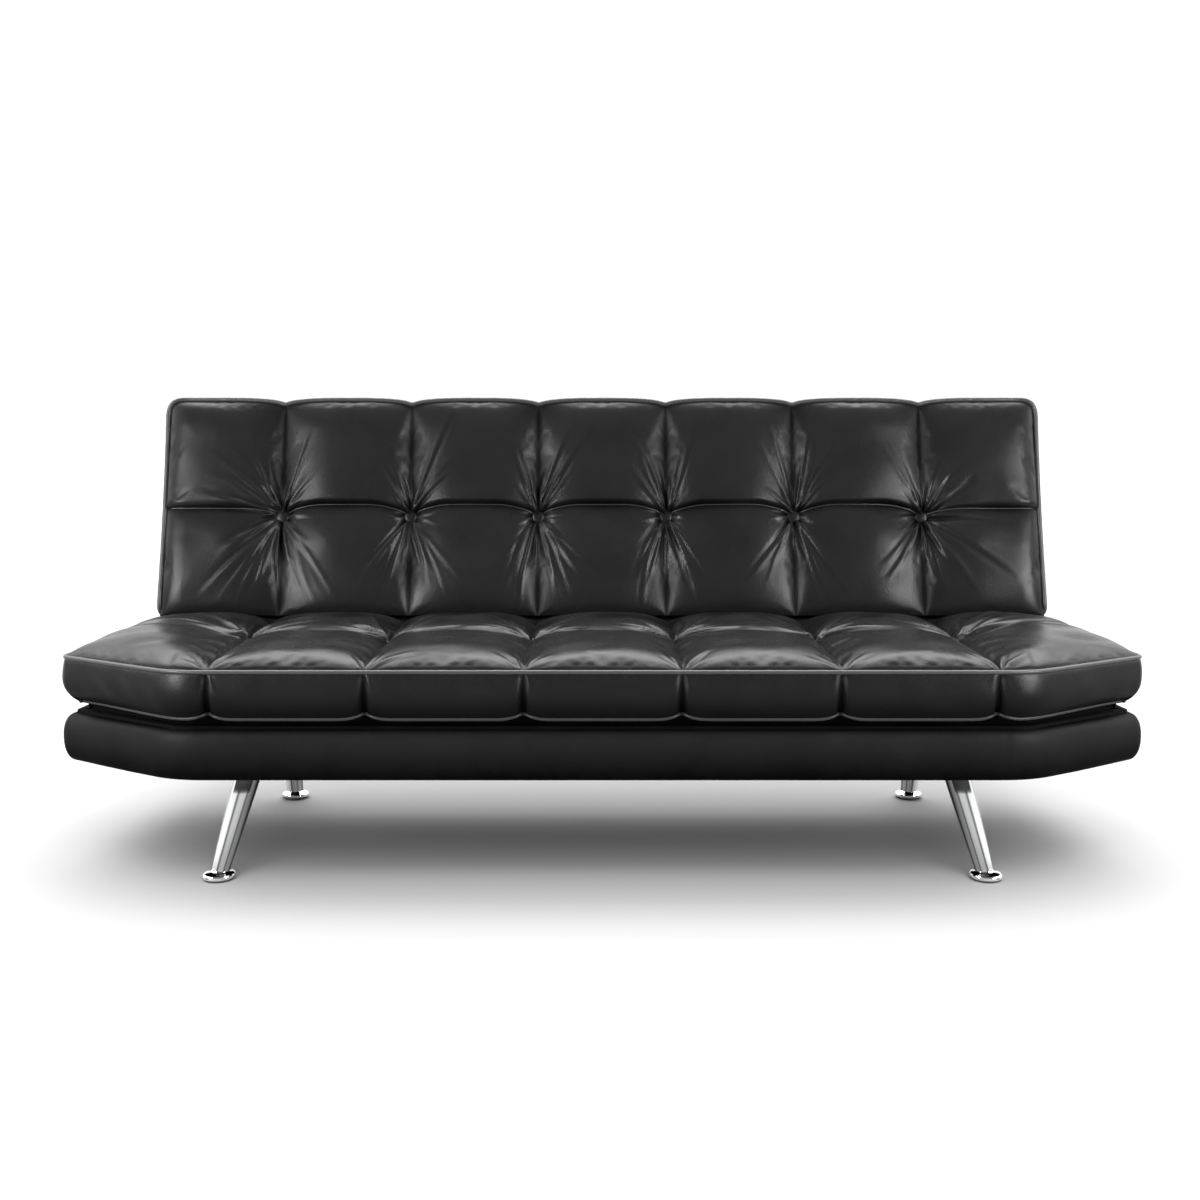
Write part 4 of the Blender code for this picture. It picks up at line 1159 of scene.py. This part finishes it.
# %% Bodies and hidden solids
sides = ("front", "right_corner", "right_side", "rear", "left_side", "left_corner")
bands = [f"{side}_band" for side in sides]
on_base = [
    (seat, "leather", ["seat_pad"]),
    (upper_welt, "piping", ["seat_piping_upper"]),
    (lower_welt, "piping", ["seat_piping_lower"]),
    (band, "leather", bands),
    (gap_shadow_rail_cloth, "dust_cloth", []),
    (gap_shadow_skirt, "dust_cloth", []),
]
on_base += [(leg, "chrome", [name]) for name, leg in legs.items()]
on_back = [
    (back, "leather", ["back_pad"]),
    (back_welt, "piping", ["back_piping"]),
    (cross_welt, "piping", []),
    (rear_sheet, "leather", ["back_panel"]),
]
on_back += [(button, "piping", [f"back_button_{i + 1}"]) for i, button in enumerate(buttons)]
for body, pieces in (("base", on_base), ("backrest", on_back)):
    for piece, slot, stands_for in pieces:
        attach(piece, body)
        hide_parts(*stands_for)

# %% [markdown]
# ## Floor, light and camera
# The floor is one pale sheet. A wide soft light hangs over the sofa and two tall ones stand at the sides,
# so the leather is dark where it faces forward and shines where it turns away. A last soft light reaches
# only the floor, which keeps the shadow pale. The room is white behind and dim in front. The camera stands
# a little over two metres in front, at about seat-back height.

# %% Floor
def floor_sheet():
    """One large flat square."""
    mesh = bpy.data.meshes.new("floor")
    mesh.from_pydata([(-60, -60, 0), (60, -60, 0), (60, 60, 0), (-60, 60, 0)], [], [(0, 1, 2, 3)])
    return mesh


made, flow, where, shader = new_material("pale_floor", Specular_IOR_Level=0.1)
mottle = noise(flow, where, 2.0, 3.0)
pale = mottle.mixed((0.215, 0.215, 0.215), (0.220, 0.220, 0.220))
feed(made, shader, Base_Color=pale, Roughness=0.7 + mottle * 0.1)
floor = placed("floor", floor_sheet())
floor.data.materials.append(made)


# %% Lights
def hang(name, kind, place, target, power):
    """A light at its place that faces its target."""
    light = bpy.data.lights.new(name, kind)
    light.energy = power
    lamp = placed(name, light)
    lamp.location = place
    away = lamp.location - type(lamp.location)(target)
    lamp.rotation_euler = away.to_track_quat("Z", "Y").to_euler()
    return lamp


overhead = hang("overhead_light", "SUN", (0, -0.7, 4), (0, 0, 0), 5.0)
overhead.data.angle = radians(60)
overhead.visible_glossy = False


def receivers(name, state):
    """A list for a light that either leaves out the floor or holds nothing else."""
    listed = bpy.data.collections.new(name)
    listed.objects.link(floor)
    listed.collection_objects[0].light_linking.link_state = state
    return listed


floor_fill = hang("floor_fill", "SUN", (0, -4, 3.6), (0, 0, 0), 5.0)
floor_fill.data.angle = radians(50)
floor_fill.light_linking.receiver_collection = receivers("only_the_floor", "INCLUDE")
all_but_floor = receivers("all_but_the_floor", "EXCLUDE")
for side in (-1, 1):
    tall = hang(f"side_light_{side + 1}", "AREA", (side * 2.6, -2.3, 1.35), (0, 0.1, 0.5), 130)
    tall.data.shape, tall.data.size, tall.data.size_y = "RECTANGLE", 0.5, 1.8
    tall.light_linking.receiver_collection = all_but_floor

# %% World
def studio():
    """Dim towards the camera, white behind and at the sides, and brightest above and behind the sofa."""
    world = bpy.data.worlds.new("studio")
    bpy.context.scene.world = world
    world.use_nodes = True
    sky = world.node_tree.nodes["Background"]
    sky.inputs["Color"].default_value = (1, 1, 1, 1)
    flow = Flow(world.node_tree)
    way = flow.add("ShaderNodeTexCoord", out=0)
    parts = [flow.add("ShaderNodeSeparateXYZ", out=i, inputs={"Vector": way}) for i in range(3)]
    aside, (back, high) = flow.math("ABSOLUTE", parts[0]), parts[1:]

    def step(value, start, end, low, top):
        inputs = {0: value, 1: start, 2: end, 3: low, 4: top}
        return flow.add("ShaderNodeMapRange", inputs=inputs, interpolation_type="SMOOTHSTEP")

    beside = step(aside, 0.5, 0.9, 0.0, 2.6) * step(high, 0.1, 0.3, 0.0, 1.0)
    above = step(high, 0.45, 0.9, 0.0, 8.0) * step(back, -0.15, 0.3, 0.0, 1.0)
    glow = beside + step(back, -0.35, 0.6, 0.18, 1.1) + above
    seen = flow.add("ShaderNodeLightPath", out=0)
    strength = glow * (1 - seen) + seen * 1.1
    world.node_tree.links.new(strength.socket, sky.inputs["Strength"])


studio()
bpy.context.scene.view_settings.view_transform = "Standard"

# %% Camera
CAMERA_AHEAD, CAMERA_HIGH, CAMERA_ASIDE = 2.3168, 0.769, -0.004
PITCH = radians(7.219)
lens = bpy.data.cameras.new("camera")
lens.lens, lens.sensor_width = 45, 36
camera = placed("camera", lens)
camera.location = (CAMERA_ASIDE, front_y - CAMERA_AHEAD, CAMERA_HIGH)
camera.rotation_euler = (pi / 2 - PITCH, 0, 0)
bpy.context.scene.camera = camera
